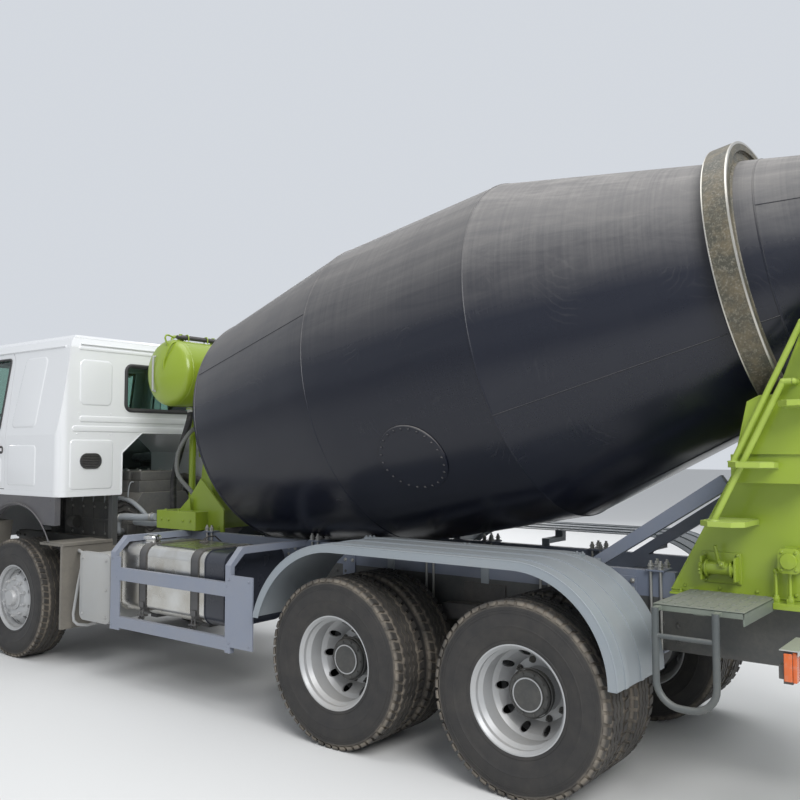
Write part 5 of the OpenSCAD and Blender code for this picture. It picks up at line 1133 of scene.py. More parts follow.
for t in (RING_T - 0.05, RING_T + 0.038):
    for lift, side in ((0.0, -1), (0.012, 1)):
        r = drum_radius(t + lift)
        ring_welds.lathe([(r - 0.001, t + lift + side * 0.012), (r + 0.01, t + lift), (r - 0.001, t + lift)],
                         DRUM_PLACE, steps=120)
        r = RING_R - 0.052
        ring_welds.lathe([(r, t + lift + side * 0.01), (r - 0.01, t + lift), (r, t + lift)], DRUM_PLACE, steps=120)
for k in range(24):
    a = math.tau * k / 24
    b = a + 0.012
    t = RING_T
    lo, hi = drum_radius(t + 0.036) + 0.001, RING_R - 0.056
    corners = ((lo, -0.036), (hi, -0.036), (hi, 0.036), (lo, 0.036))
    first = ring_welds.points([(r * math.cos(a), r * math.sin(a), t + q) for r, q in corners], DRUM_PLACE)
    second = ring_welds.points([(r * math.cos(b), r * math.sin(b), t + q) for r, q in corners], DRUM_PLACE)
    ring_welds.face(first)
    ring_welds.face(list(reversed(second)))
    for i in range(4):
        ring_welds.face([first[i], second[i], second[(i + 1) % 4], first[(i + 1) % 4]])
ring_welds.piece("ring_gussets", ring_steel, "drum", slot="ring")

# Rear pedestal: folded and welded green plate stands on the frame with bolted
# feet. It carries the rollers and holds the feed hopper on two arms.
dress(green_paint, "rear_pedestal", "bearing_brackets")
feet = Shape()
for s in (1, -1):
    for i in range(9):
        feet.bolt((-6.06 - 0.098 * i, s * 0.527, 1.1095), (0, 0, 1), 0.01, stud=0.022)
        if i % 2 == 0:
            feet.bolt((-6.08 - 0.098 * i, s * 0.512, 1.15), (0, s, 0), 0.008)
    feet.tube([(x, s * 0.5125, z) for x, z in ((-6.0, 1.1245), (-6.88, 1.1245))], 0.004, 6)
    edge = [(-6.003, 1.118), (-6.159, 1.407), (-6.382, 1.826), (-6.411, 1.889)]
    feet.tube([(x, s * 0.506, z) for x, z in edge], 0.0075, 8)
    feet.block((-6.8, s * 0.512, 1.735), (-6.41, s * 0.522, 1.742), 0.002)
    for x in (-6.46, -6.54, -6.62, -6.7):
        feet.bolt((x, s * 0.6, 1.8895), (0, 0, 1), 0.011)
    spine = [(-6.646, 2.192), (-7.061, 3.262)]
    feet.tube([(x, s * 0.698, z) for x, z in spine], 0.009, 8)
    spine = [(-6.862, 2.08), (-7.181, 3.262)]
    feet.tube([(x, s * 0.698, z) for x, z in spine], 0.009, 8)
    feet.tube([(x, s * 0.698, z) for x, z in ((-6.438, 1.892), (-6.499, 2.165), (-6.558, 2.192), (-6.646, 2.192))],
              0.009, 8)
    for z in (1.19, 1.68):
        for x in (-7.54, -7.58):
            feet.bolt((x, s * 0.066, z), (0, s, 0), 0.008)
feet.piece("pedestal_feet", green_paint, "root", slot="green")
grease = Shape()
for s in (1, -1):
    hub = DRUM_PLACE @ Vector((-math.sqrt((RING_R + ROLLER_R + 0.0003) ** 2 - ROLLER_Y ** 2), s * ROLLER_Y, RING_T))
    axis = DRUM_PLACE.to_3x3() @ Vector((0, 0, 1))
    for side in (1, -1):
        place = Matrix.Translation(hub + axis * side * 0.1) @ (axis * side).to_track_quat("Z",
                                                                                          "Y").to_matrix().to_4x4()
        grease.lathe([(0.034, 0.0), (0.06, 0.002), (0.06, 0.014), (0.052, 0.018), (TIP, 0.019)], place, steps=32)
        for x, y in ring_of(6, 0.048, 0.3):
            grease.bolt(place @ Vector((x, y, 0.015)), axis * side, 0.006)
grease.piece("roller_caps", iron, "root", slot="roller")

# Ladder, rear step and winch: green treads with bright worn ribs, bent handrail
# tube, a dark green-grey platform with a tube hoop, and the mixer's levers.
tread_paint = painted("Tread paint", (0.33, 0.44, 0.06), gloss=0.45, dust=0.3, wear=0.6)
dress(tread_paint, "ladder")
treads = Shape()


def tread_ribs(x, half, y0, y1, z):
    """Raised ribs across a tread, and a fillet bead under its edge."""
    for i in range(5):
        y = y0 + 0.03 + (y1 - y0 - 0.08) * i / 4
        treads.block((x - half + 0.018, y - 0.006, z - 0.001), (x + half - 0.018, y + 0.006, z + 0.0035), 0.002)
    treads.tube([(x - half, y0 + 0.004, z - 0.03), (x + half, y0 + 0.004, z - 0.03)], 0.005, 6)


for i in range(6):
    z = 1.54 + 0.31 * i
    if i < 2:
        tread_ribs(-6.375 - 0.15 * i, 0.115, 0.512 if i == 0 else 0.69, 0.83, z)
    else:
        tread_ribs(-6.78 - (z - 2.19) * 0.36, 0.09, 0.705, 0.89, z)
for x, y, z in ((-6.43, 0.75, 1.85), (-6.33, 0.77, 1.54)):
    treads.lathe([(0.03, 0.0), (0.028, 0.006), (0.017, 0.008)], Matrix.Translation((x, y, z)), steps=20)
treads.piece("tread_ribs", tread_paint, "root", slot="green")
step_paint = painted("Step paint", (0.125, 0.155, 0.128), gloss=0.48, dust=0.45, reach=1.8)
hoop_paint = painted("Hoop paint", (0.06, 0.072, 0.076), gloss=0.42, dust=0.25, reach=1.8)
STEP_X, STEP_Y, STEP_Z = (-6.57, -6.12), (0.54, 1.1), 1.135
plate, hoop = Shape(), Shape()
plate.block((STEP_X[0], STEP_Y[0], STEP_Z - 0.01), (STEP_X[1], STEP_Y[1], STEP_Z), 0.003)
plate.block((STEP_X[0], STEP_Y[0], STEP_Z - 0.068), (STEP_X[0] + 0.008, STEP_Y[1], STEP_Z - 0.001), 0.003)
plate.block((STEP_X[1] - 0.008, STEP_Y[0], STEP_Z - 0.034), (STEP_X[1], STEP_Y[1], STEP_Z - 0.001), 0.003)
plate.block((STEP_X[0], STEP_Y[1] - 0.008, STEP_Z - 0.034), (STEP_X[1], STEP_Y[1], STEP_Z - 0.001), 0.003)
for i in range(7):
    x = STEP_X[0] + 0.045 + 0.06 * i
    for y in (0.6, 0.74, 0.88, 1.02):
        plate.block((x - 0.009, y - 0.045, STEP_Z - 0.001), (x + 0.009, y + 0.045, STEP_Z + 0.0035), 0.0015)
plate.block((-6.35, FRAME_Y, 1.04), (-6.29, 0.542, 1.088), 0.004)
plate.block((-6.35, 0.54, 1.078), (-6.29, 1.0, STEP_Z - 0.008), 0.004)
for s in (1, -1):
    plate.block((-6.3 + s * 0.15 - 0.014, 1.04, STEP_Z - 0.03), (-6.3 + s * 0.15 + 0.014, 1.15, STEP_Z - 0.009),
                0.003)
HOOP_Y, HOOP_Z, HOOP_BEND = 1.15, 0.642, 0.125
arc = [(HOOP_BEND * math.sin(a), HOOP_BEND * (1 - math.cos(a))) for a in [math.pi / 2 * i / 8 for i in range(9)]]
front = [(-6.15 - HOOP_BEND + u, HOOP_Z + v) for u, v in arc]
back = [(-6.45 + HOOP_BEND - u, HOOP_Z + v) for u, v in reversed(arc)]
hoop.tube([(-6.45, HOOP_Y, STEP_Z - 0.012), (-6.45, HOOP_Y, 0.9)] + [(x, HOOP_Y, z) for x, z in back
                                                                     + front] + [(-6.15, HOOP_Y, 0.9),
                                                                                 (-6.15, HOOP_Y, STEP_Z - 0.012)],
          0.018, 18)
hoop.tube([(-6.45, HOOP_Y, 0.985), (-6.15, HOOP_Y, 0.985)], 0.0125, 12)
hoop.tube([(-6.44, HOOP_Y, 0.985), (-6.32, 0.76, 1.082)], 0.009, 10)
for x in (-6.45, -6.15):
    hoop.bolt((x, 1.1, STEP_Z - 0.019), (0, 1, 0), 0.007)
step_plate = plate.piece("step_plate", step_paint, "root", slot="step")
step_hoop = hoop.piece("step_hoop", hoop_paint, "root", smooth=50, slot="step")
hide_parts("rear_step")
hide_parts("rear_step")

winch = Shape()
winch.block((-6.395, 0.512, 1.18), (-6.185, 0.524, 1.35), 0.003)
for x in (-6.385, -6.205):
    winch.block((x, 0.523, 1.2), (x + 0.012, 0.6, 1.33), 0.003)
winch.tube([(-6.38, 0.565, 1.265), (-6.2, 0.565, 1.265)], 0.032, 24)
winch.tube([(-6.29, 0.57, 1.29), (-6.275, 0.59, 1.392)], 0.01, 12)
winch.prism([(-6.655 + u, 1.335 + v) for u, v in round_loop(0.055, 0.065, 0.025)], 0.512, 0.6, "Y", 0.004)
for x in (-6.58, -6.65):
    winch.tube([(x, 0.56, 1.105), (x, 0.56, 1.275)], 0.009, 12)
winch.block((-6.72, 0.54, 1.08), (-6.571, 0.599, 1.112), 0.003)
spool = tilted((-6.2, 0.565, 1.265), -90, "Y")
winch.lathe([(0.0325, 0.016), (0.046, 0.018), (0.046, 0.026), (0.0335, 0.028), (0.0335, 0.15), (0.046, 0.152),
             (0.046, 0.16), (0.0325, 0.162)], spool, steps=32)
teeth = []
for i in range(32):
    a = math.tau * i / 32
    r = 0.056 if i % 2 else 0.047
    teeth.append((0.565 + r * math.cos(a), 1.265 + r * math.sin(a)))
winch.prism(teeth, -6.202, -6.19, "X")
for x, z in ((-6.375, 1.195), (-6.205, 1.195), (-6.375, 1.335), (-6.205, 1.335)):
    winch.bolt((x, 0.524, z), (0, 1, 0), 0.008, stud=0.014)
winch.block((-6.33, 0.585, 1.275), (-6.296, 0.612, 1.31), 0.003)
winch.bolt((-6.313, 0.612, 1.292), (0, 1, 0), 0.01)
for x in (-6.58, -6.65):
    winch.tube([(x, 0.56, 1.12), (x, 0.56, 1.15)], 0.015, 10)
    winch.block((x - 0.018, 0.546, 1.108), (x + 0.018, 0.574, 1.138), 0.005)
    winch.lathe([(TIP, -0.016), (0.01, -0.012), (0.015, 0.0), (0.01, 0.012), (TIP, 0.016)],
                Matrix.Translation((x, 0.56, 1.275)), steps=16)
for x in (-6.69, -6.62):
    for z in (1.29, 1.38):
        winch.bolt((x, 0.5995, z), (0, 1, 0), 0.007)
winch.lathe([(TIP, 0.0), (0.04, 0.001), (0.044, 0.008), (0.04, 0.016), (TIP, 0.02)],
            tilted((-6.655, 0.599, 1.335), -90, "X"), steps=28)
winch_levers = winch.piece("winch_levers", green_paint, "root", slot="green")
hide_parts("controls")

# Hoppers and chute: cone and trough of rolled plate, their lips turned over a
# round bar. Cement has dried inside, and the chute hangs on its jack and pins.
cement_green, tree, skin = new_material("Cemented green")
place = spot_on(tree)
splash = noise(tree, place, 5.5, 10.0, 0.72, 0.8)
crust = ramp(tree, splash, 0.52, 0.66)
thin_film = add(tree, "ShaderNodeGroup", {"Clean": colour(0.265, 0.365, 0.022), "Dust": DUST, "Amount": 0.2,
                                          "Reach": 4.0, "Gloss": 0.35}, node_tree=road_dust)
edges = add(tree, "ShaderNodeGroup", {"Radius": 0.003}, node_tree=worn_edge).outputs
feed(skin, {"Base Color": mix_colours(tree, crust, thin_film.outputs["Colour"], colour(0.42, 0.41, 0.37)),
            "Roughness": ramp(tree, crust, 0.0, 1.0, 0.35, 0.95), "Normal": relief(tree, crust, 0.003, 0.7,
                                                                                   edges["Normal"])})
dress(cement_green, "feed_hopper", "discharge_hopper", "swing_chute", "chute_extension")
dress(green_paint, "chute_bracket", "jack_barrel")
dress(chrome, "jack_rod")
hopper_lips = Shape()
SWING_X = -7.56
for z, r in ((2.34, 0.171), (2.4, 0.172), (2.8, 0.32)):
    hopper_lips.lathe([(r - 0.004, z - 0.006), (r + 0.004, z - 0.006), (r + 0.008, z), (r + 0.004, z + 0.006),
                       (r - 0.004, z + 0.006)], Matrix.Translation((SWING_X, 0, 0)), steps=64,
                      sweep=360.0 if z < 2.7 else 190.0, start=0.0 if z < 2.7 else 85.0)
rim_loop = [(x, y, 3.9355) for x, y in ((-7.39, -0.55), (-8.33, -0.55), (-8.33, 0.55), (-7.39, 0.55),
                                        (-7.39, -0.55))]
hopper_lips.tube(rim_loop, 0.0062, 8, ends=False)
for s in (1, -1):
    for x in (-7.6, -7.86, -8.12):
        hopper_lips.prism([(u, z) for u, z in ((x, 3.905), (x + 0.004, 3.905), (x + 0.004, 3.7), (x, 3.76))],
                          s * 0.43, s * 0.52, "Y")
    for x in (-7.9, -7.83):
        hopper_lips.bolt((x, s * 0.48, 3.6395), (0, 0, 1), 0.01)
hopper_lips.piece("hopper_lips", green_paint, "root", slot="green")
SLOPE = math.radians(35)
CHUTE_PLACE = Matrix.Translation((SWING_X, 0, 2.02)) @ Matrix.Rotation(math.radians(-90) - SLOPE, 4, "Y")
CHUTE_RISE, CHUTE_R, CHUTE_LEN = 0.24, 0.2025, 1.05
chute_lips = Shape()
for y in (-1, 1):
    chute_lips.tube([CHUTE_PLACE @ Vector((CHUTE_RISE, y * CHUTE_R, t)) for t in (-0.16, 0.4, CHUTE_LEN - 0.002)],
                    0.0075, 10)
for t in (-0.155, 0.3, 0.7, CHUTE_LEN - 0.008):
    rib = [CHUTE_PLACE @ Vector((CHUTE_RISE - (CHUTE_R + 0.004) * math.sin(a), (CHUTE_R + 0.004) * math.cos(a), t))
           for a in [math.pi * i / 24 for i in range(25)]]
    chute_lips.tube(rib, 0.006, 8)
chute_lips.piece("chute_lips", green_paint, "swing_chute", slot="green")

# Tail lamps: moulded two-colour lenses in a black housing, under a bright tin
# cover, on a dark cross bar; round reflectors stand beside them.


def lens_plastic(name, tint):
    made, tree, skin = new_material(name)
    place = spot_on(tree)
    flutes = stripes(tree, place, 60.0, "Y")
    film = noise(tree, place, 30.0, 4.0)
    dusty = ramp(tree, film, 0.5, 0.8, 0.0, 0.35)
    feed(skin, {"Base Color": mix_colours(tree, dusty, colour(*tint), DUST), "Roughness": 0.18, "Coat Weight": 0.6,
                "Normal": relief(tree, flutes, 0.002)})
    return made


orange_lens = lens_plastic("Orange lens", (0.62, 0.115, 0.012))
red_lens = lens_plastic("Red lens", (0.58, 0.012, 0.014))
clear_lens = lens_plastic("Clear lens", (0.55, 0.55, 0.54))
dress(black_plastic, "lamps")
tin_cover = painted("Tin cover", (0.5, 0.51, 0.5), gloss=0.35, dust=0.4, metal=0.6, edge=0.001)
lenses = {"orange": Shape(), "red": Shape(), "clear": Shape()}
covers, frames = Shape(), Shape()
for s in (1, -1):
    for tint, y0, y1 in (("orange", 1.106, 1.178), ("red", 0.95, 1.098), ("clear", 0.884, 0.944)):
        lenses[tint].block((-6.818, s * y0, 0.856), (-6.798, s * y1, 0.994), 0.006)
    lenses["orange"].block((-6.8, s * 1.1795, 0.862), (-6.764, s * 1.19, 0.988), 0.004)
    covers.block((-6.826, s * 1.03 - 0.16, 0.9995), (-6.745, s * 1.03 + 0.16, 1.0045), 0.0015)
    covers.block((-6.83, s * 1.03 - 0.16, 0.982), (-6.8245, s * 1.03 + 0.16, 1.0045), 0.0015)
    frames.block((-6.806, s * 1.098, 0.852), (-6.797, s * 1.106, 0.998), 0.001)
    for y in (0.5, 0.8):
        frames.bolt((-6.74, s * y, 0.9), (1, 0, 0), 0.009)
    lamp = tilted((-6.7605, s * 0.6, 0.9), -90, "Y")
    lenses["red"].lathe([(TIP, 0.012), (0.026, 0.011), (0.032, 0.006), (0.032, -0.002)], lamp, steps=32)
for tint, finish in (("orange", orange_lens), ("red", red_lens), ("clear", clear_lens)):
    lenses[tint].piece("tail_lens_" + tint, finish, "root", slot="lamp")
covers.piece("lamp_covers", tin_cover, "root", slot="chrome")
frames.piece("lamp_frames", black_plastic, "root", slot="dark_plastic")

# Cab: spot-welded steel pressings in white. Raised panels and ribs stiffen the
# rear wall and the sides, and a drip rail runs round the roof.
white_paint = painted("Cab paint", (0.79, 0.8, 0.81), gloss=0.22, dust=0.1, coat=0.5, depth=0.003, wear=0.15)
dress(white_paint, "cab_shell", "door_left", "door_right", "front_panel", "front_bumper")
CAB_REAR, CAB_HALF, BELT_Z, EAVES_Z, LEAN = -0.72, 1.16, 2.05, 2.85, 0.095 / 0.8
PRESS = 0.0065


def side_wall(x, z, s, lift=0.0):
    """A point on the outside of the cab's side wall."""
    y = CAB_HALF - max(0.0, z - BELT_Z) * LEAN
    return Vector((x, s * (y + lift), z))


def side_panel(s):
    """Puts a pressed outline on one side wall of the cab."""
    return lambda u, v, lift: side_wall(u, v, s, lift)


def rear_wall(s):
    """Puts a pressed outline on the rear wall of one half of the cab."""
    return lambda u, v, lift: (CAB_REAR - lift, s * u, v)


def rounded_outline(points, radius, steps=5):
    """A polygon with its corners turned into arcs."""
    loop = []
    for i, b in enumerate(points):
        b = Vector(b)
        a, c = Vector(points[i - 1]) - b, Vector(points[(i + 1) % len(points)]) - b
        u, v = a.normalized(), c.normalized()
        half = u.angle(v) / 2
        middle = b + (u + v).normalized() * radius / math.sin(half)
        start, end = b + u * radius / math.tan(half) - middle, b + v * radius / math.tan(half) - middle
        for k in range(steps + 1):
            step = start * (steps - k) / steps + end * k / steps
            loop.append(middle + step.normalized() * radius)
    return loop


def pressing(shape, outline, put, lift, slope):
    """A raised field with softly sloped edges, pressed out of a wall."""
    n = len(outline)
    middle = sum(outline, Vector((0, 0))) / n
    rings = []
    for share, height in ((-1.0, -0.001), (-0.7, 0.0008), (-0.2, lift * 0.55), (0.15, lift * 0.93), (0.5, lift)):
        ring = []
        for i, p in enumerate(outline):
            along = (outline[(i + 1) % n] - outline[i - 1]).normalized()
            inward = Vector((-along.y, along.x))
            if inward.dot(middle - p) < 0:
                inward = -inward
            ring.append(put(*(p + inward * slope * share), height))
        rings.append(shape.points(ring))
    shape.join(rings, lid=True)


def seal(shape, loop, radius=0.011, sides=8):
    """A closed rubber bead along a loop of points."""
    path = [Vector(p) for p in loop]
    n = len(path)
    middle = sum(path, Vector()) / n
    normal = (path[0] - middle).cross(path[n // 4] - middle).normalized()
    rings = []
    for i, p in enumerate(path):
        ahead = (path[(i + 1) % n] - path[i - 1]).normalized()
        side = ahead.cross(normal).normalized()
        rings.append(shape.bar_ring(p, -ahead, side, radius, sides))
    shape.join(rings + rings[:1])


pressed = Shape()
for s in (1, -1):
    pressing(pressed, rounded_outline([(0.64, 2.33), (0.963, 2.33), (0.963, 2.735), (0.64, 2.735)], 0.045),
             rear_wall(s), PRESS, 0.01)
    pressing(pressed, rounded_outline([(0.62, 1.56), (1.05, 1.56), (1.05, 2.0), (0.62, 2.0)], 0.03), rear_wall(s),
             PRESS, 0.009)
    pressing(pressed, rounded_outline([(-0.366, 2.77), (0.0, 2.77), (0.115, 2.13), (-0.293, 2.13)], 0.045),
             side_panel(s), PRESS, 0.012)
    pressing(pressed, rounded_outline([(-0.325, 1.59), (0.15, 1.59), (0.15, 1.95), (-0.325, 1.95)], 0.03),
             side_panel(s), PRESS, 0.01)
for z, half, wide in ((2.196, 0.965, 0.024), (2.107, 1.035, 0.023), (2.842, 0.98, 0.012)):
    pressing(pressed, rounded_outline([(-half, z - wide), (half, z - wide), (half, z + wide), (-half, z + wide)],
                                      wide - 0.001), rear_wall(1), PRESS, 0.007)
pressed.piece("cab_pressings", white_paint, "cab", slot="cab_paint")

rails = Shape()
for s in (1, -1):
    rails.tube([side_wall(x, EAVES_Z + 0.006, s, 0.001) for x in (-0.64, -0.2, 0.4, 1.04)], 0.01, 10)
    rails.tube(bent([side_wall(x, z, s, 0.0005) for x, z in ((1.04, 2.856), (1.075, 2.848), (1.11, 2.79),
                                                             (1.24, 2.43), (1.37, 2.06))], 4), 0.008, 8)
    corner = [(-0.69, s * 1.13, 1.51), (-0.691, s * 1.131, 2.05), (-0.691, s * 1.036, 2.85)]
    rails.tube(corner, 0.006, 8)
    for y, z in ((0.89, 2.88), (0.73, 2.88), (0.64, 2.245), (0.97, 2.245), (0.64, 2.058), (0.99, 2.058)):
        rails.lathe([(TIP, 0.002), (0.007, 0.002), (0.009, 0.0005), (0.011, -0.0005)],
                    tilted((CAB_REAR, s * y, z), -90, "Y"), steps=16)
rails.tube([(-0.7185, y, 2.882) for y in (-0.96, -0.4, 0.4, 0.96)], 0.008, 10)
rails.tube([(-0.68, y, 2.9405) for y in (-1.0, -0.4, 0.4, 1.0)], 0.007, 10)
rails.piece("drip_rails", white_paint, "cab", slot="cab_paint")
lap = Shape()
for s in (1, -1):
    lap.tube([(CAB_REAR - 0.001, s * y, z) for y, z in ((0.512, 1.5), (0.512, 1.886), (0.292, 2.077),
                                                        (0.0, 2.077))], 0.007, 8)
lap.piece("tunnel_flange", white_paint, "cab", slot="cab_paint")

vents = Shape()
for s in (1, -1):
    place = Matrix.Translation((CAB_REAR - PRESS, s * 0.848, 1.812))
    outer, inner = round_loop(0.11, 0.071, 0.069, 8), round_loop(0.094, 0.055, 0.053, 8)
    rows = [vents.points([place @ Vector((-d, u, v)) for u, v in loop])
            for loop, d in ((outer, -0.001), (outer, 0.01), (inner, 0.01), (inner, 0.0015))]
    vents.join(rows, lid=True)
    for k in range(-3, 4):
        half = 0.04 + math.sqrt(max(0.0, 0.052 ** 2 - (k * 0.015) ** 2))
        vents.block((-0.006, -half, -0.003), (0.004, half, 0.003), 0.001,
                    place @ Matrix.Translation((-0.004, 0, 0.015 * k)) @ Matrix.Rotation(0.5, 4, "Y"))
vents.piece("cab_vents", black_plastic, "cab", slot="dark_plastic")

# Windows: green-tinted safety glass in black rubber seals. The doors have their
# own glass, a shut seal, a handle in a dark cup and a rubber lip under the glass.
glass, tree, skin = new_material("Window glass")
feed(skin, {"Base Color": colour(0.42, 0.58, 0.52), "Transmission Weight": 1.0, "Roughness": 0.02, "IOR": 1.35})
dress(glass, "cab_glass", "door_glass_left", "door_glass_right")
seal_rubber = painted("Seal rubber", (0.025, 0.026, 0.028), gloss=0.55, dust=0.2, edge=0.001)
seals = Shape()
seal(seals, [(CAB_REAR - 0.002, a, 2.505 + b) for a, b in round_loop(0.482, 0.217, 0.062)], 0.016)
seal(seals, [(CAB_REAR + 0.004, a, 2.505 + b) for a, b in round_loop(0.466, 0.201, 0.048)], 0.009)
screen = rounded_outline([(0.985, 2.066), (0.905, 2.824), (-0.905, 2.824), (-0.985, 2.066)], 0.04)


SCREEN_FOOT_X, SCREEN_FOOT_Z, SCREEN_LEAN = 1.38, 1.99, 0.29 / 0.86


def on_screen(y, z, lift=0.0):
    """A point on the outside of the windscreen."""
    return Vector((SCREEN_FOOT_X - (z - SCREEN_FOOT_Z) * SCREEN_LEAN + lift, y, z + lift * 0.34))


seal(seals, [on_screen(p.x, p.y, 0.0) for p in screen], 0.018)
seals.piece("window_seals", seal_rubber, "cab", slot="hose")

DOOR_GLASS = [(0.332, 2.12), (0.282, 2.79), (0.91, 2.79), (1.09, 2.14), (1.09, 2.08), (0.362, 2.08)]
for side, s in (("left", 1), ("right", -1)):
    edge = Shape()
    loop = [side_wall(p.x, p.y, s, 0.001) for p in rounded_outline(DOOR_GLASS, 0.03)]
    seal(edge, loop, 0.012)
    edge.block((0.36, s * 1.152, 2.056), (1.092, s * 1.166, 2.074), 0.004)
    edge.piece("door_seal_" + side, seal_rubber, "door_" + side, slot="hose")
    handle = Shape()
    cup = []
    for grow, depth in ((0.0, 0.0), (-0.004, 0.006), (-0.014, 0.006), (-0.02, 0.001)):
        cup.append(handle.points([(0.342 + u, s * (CAB_HALF + depth), 1.914 + v)
                                  for u, v in round_loop(0.092 + grow, 0.038 + grow, 0.03 + grow)]))
    handle.join(cup, lid=True)
    handle.block((0.268, s * 1.178, 1.898), (0.416, s * 1.192, 1.932), 0.006)
    handle.lathe([(TIP, 0.004), (0.009, 0.004), (0.011, 0.0)], tilted((0.45, s * CAB_HALF, 1.87), -90 * s, "X"),
                 steps=20)
    handle.piece("door_handle_" + side, black_plastic, "door_" + side, slot="dark_plastic")
    pressed = Shape()
    pressing(pressed, rounded_outline([(0.282, 1.6), (1.08, 1.6), (1.08, 1.84), (0.282, 1.84)], 0.04),
             side_panel(s), PRESS, 0.01)
    pressed.piece("door_pressing_" + side, white_paint, "door_" + side, slot="cab_paint")
    gap = Shape()
    shut = [(0.215, 1.543), (0.215, 2.78), (0.275, 2.857), (0.948, 2.857), (1.187, 2.122), (1.187, 1.543)]
    inside = [side_wall(x, z, s, -0.018) for x, z in shut]
    gap.tube(inside + inside[:1], 0.006, 8, ends=False)
    gap.piece("shut_seal_" + side, seal_rubber, "cab", slot="hose")

# Cab trim: dark grey moulded skirts and wheel arches, mirrors on bent tubes, a
# sun visor over the windscreen, wipers and the slotted front lid.
skirt_plastic = painted("Skirt plastic", (0.078, 0.078, 0.088), gloss=0.5, dust=0.35, reach=2.0, grain=0.2)
dress(skirt_plastic, "cab_trim")
MIRROR_Y, MIRROR_Z = 1.34, 2.45
ARCH_X, ARCH_Z, ARCH_R = -0.023, 0.723, 0.699
trim, mirrors = Shape(), Shape()
for s in (1, -1):
    for x in (-0.6, -0.1, 0.76, 1.12):
        trim.bolt((x, s * 1.164, 1.462), (0, s, 0), 0.006)
    arch = [(ARCH_X + ARCH_R * math.cos(a), s * 1.18, ARCH_Z + ARCH_R * math.sin(a))
            for a in [math.radians(48 + 100 * i / 24) for i in range(25)]]
    trim.tube(arch, 0.006, 8)
    for z in (2.172, 2.69):
        trim.lathe([(0.0145, -0.012), (0.021, -0.01), (0.021, 0.01), (0.0145, 0.012)],
                   Matrix.Translation((1.33, s * 1.33, z)), steps=20)
    outline = rounded_outline([(1.24, 2.268), (1.44, 2.268), (1.44, 2.632), (1.24, 2.632)], 0.035)
    rows = [trim.points([(x, s * (MIRROR_Y + (p.x - MIRROR_Y) * wide - 0.005), MIRROR_Z + (p.y - MIRROR_Z) * high)
                         for p in outline]) for x, wide, high in ((1.368, 1.0, 1.0), (1.376, 0.94, 0.96))]
    trim.join(rows, lid=True)
    mirrors.block((1.286, s * MIRROR_Y - 0.085, 2.275), (1.2905, s * MIRROR_Y + 0.085, 2.625), 0.002)
for y0, y1 in ((0.96, 0.25), (0.2, -0.5)):
    arm = [on_screen(y0 - 0.03, 2.02, 0.03), on_screen(y0 - 0.2, 2.07, 0.026), on_screen(y1 + 0.15, 2.18, 0.026)]
    trim.tube(arm, 0.007, 8)
    trim.tube([on_screen(y0 - 0.15, 2.145, 0.02), on_screen(y1, 2.25, 0.02)], 0.006, 8)
    trim.lathe([(TIP, 0.02), (0.018, 0.018), (0.022, 0.0), (0.022, -0.03)], tilted(arm[0], 70, "Y"), steps=20)
trim.piece("cab_trim_details", skirt_plastic, "cab", slot="dark_plastic")
mirrors.piece("mirror_glass", chrome, "cab", slot="chrome")
visor = Shape()
visor.prism([(1.0515, 2.9055), (1.252, 2.81), (1.258, 2.796), (1.264, 2.799), (1.26, 2.818), (1.06, 2.912)], -0.952,
            0.952, "Y")
visor.piece("visor_lip", black_plastic, "cab", slot="dark_plastic")

grille = Shape()
for z in (1.15, 1.24, 1.33, 1.42, 1.51, 1.6):
    grille.block((1.374, -0.818, z + 0.003), (1.379, 0.818, z + 0.047), 0.001)
    for i in range(27):
        y = -0.806 + 0.062 * i
        grille.block((1.379, y - 0.004, z + 0.002), (1.392, y + 0.004, z + 0.048), 0.0015)
    grille.block((1.386, -0.819, z + 0.021), (1.397, 0.819, z + 0.028), 0.002)
grille.piece("lid_grille", black_plastic, "front_panel", slot="dark_plastic")
lid_lip = Shape()
lid_lip.tube([(1.3985, y, z) for y, z in ((-1.04, 0.99), (1.04, 0.99))], 0.006, 8)
lid_lip.tube([(1.3985, y, 1.73) for y in (-0.9, 0.9)], 0.005, 8)
for s in (1, -1):
    lid_lip.block((1.399, s * 0.7 - 0.06, 1.042), (1.408, s * 0.7 + 0.06, 1.066), 0.003)
lid_lip.piece("lid_lip", white_paint, "front_panel", slot="cab_paint")

# Head lamps and bumper: chromed bowls and bulbs behind a clear cover in the
# bumper, with fog lamp slots and an air slot with bars.
lamp_bowls, slots = Shape(), Shape()
for s in (1, -1):
    for y, r in ((0.8, 0.072), (0.96, 0.072)):
        place = tilted((1.4466, s * y, 0.71), 90, "Y")
        lamp_bowls.lathe([(r, 0.0018), (r * 0.96, 0.0022), (r * 0.75, 0.0005), (r * 0.4, 0.0002), (TIP, 0.0002)],
                         place, steps=40)
        lamp_bowls.lathe([(0.016, 0.0002), (0.016, 0.002), (0.012, 0.003), (TIP, 0.0032)], place, steps=20)
    loop = round_loop(0.186, 0.096, 0.05)
    slots_edge = [(1.445, s * 0.9 + u, 0.71 + v) for u, v in loop]
    slots.tube(slots_edge + slots_edge[:2], 0.0045, 8, ends=False)
    slots.block((1.447, s * 0.9 - 0.16, 0.553), (1.4495, s * 0.9 + 0.16, 0.588), 0.001)
for i in range(5):
    slots.block((1.447, -0.56, 0.64 + 0.042 * i), (1.4495, 0.56, 0.664 + 0.042 * i), 0.001)
lamp_bowls.piece("lamp_bowls", chrome, "root", slot="chrome")
slots.piece("bumper_slots", black_plastic, "root", slot="dark_plastic")
turn_lamps = Shape()
for s in (1, -1):
    turn_lamps.block((1.4465, s * 1.06 - 0.018, 0.655), (1.4494, s * 1.06 + 0.018, 0.765), 0.001)
turn_lamps.piece("turn_lamps", orange_lens, "root", slot="lamp")
side_lamps = Shape()
for s in (1, -1):
    side_lamps.block((1.12, s * 1.163, 1.385), (1.19, s * 1.174, 1.425), 0.004)
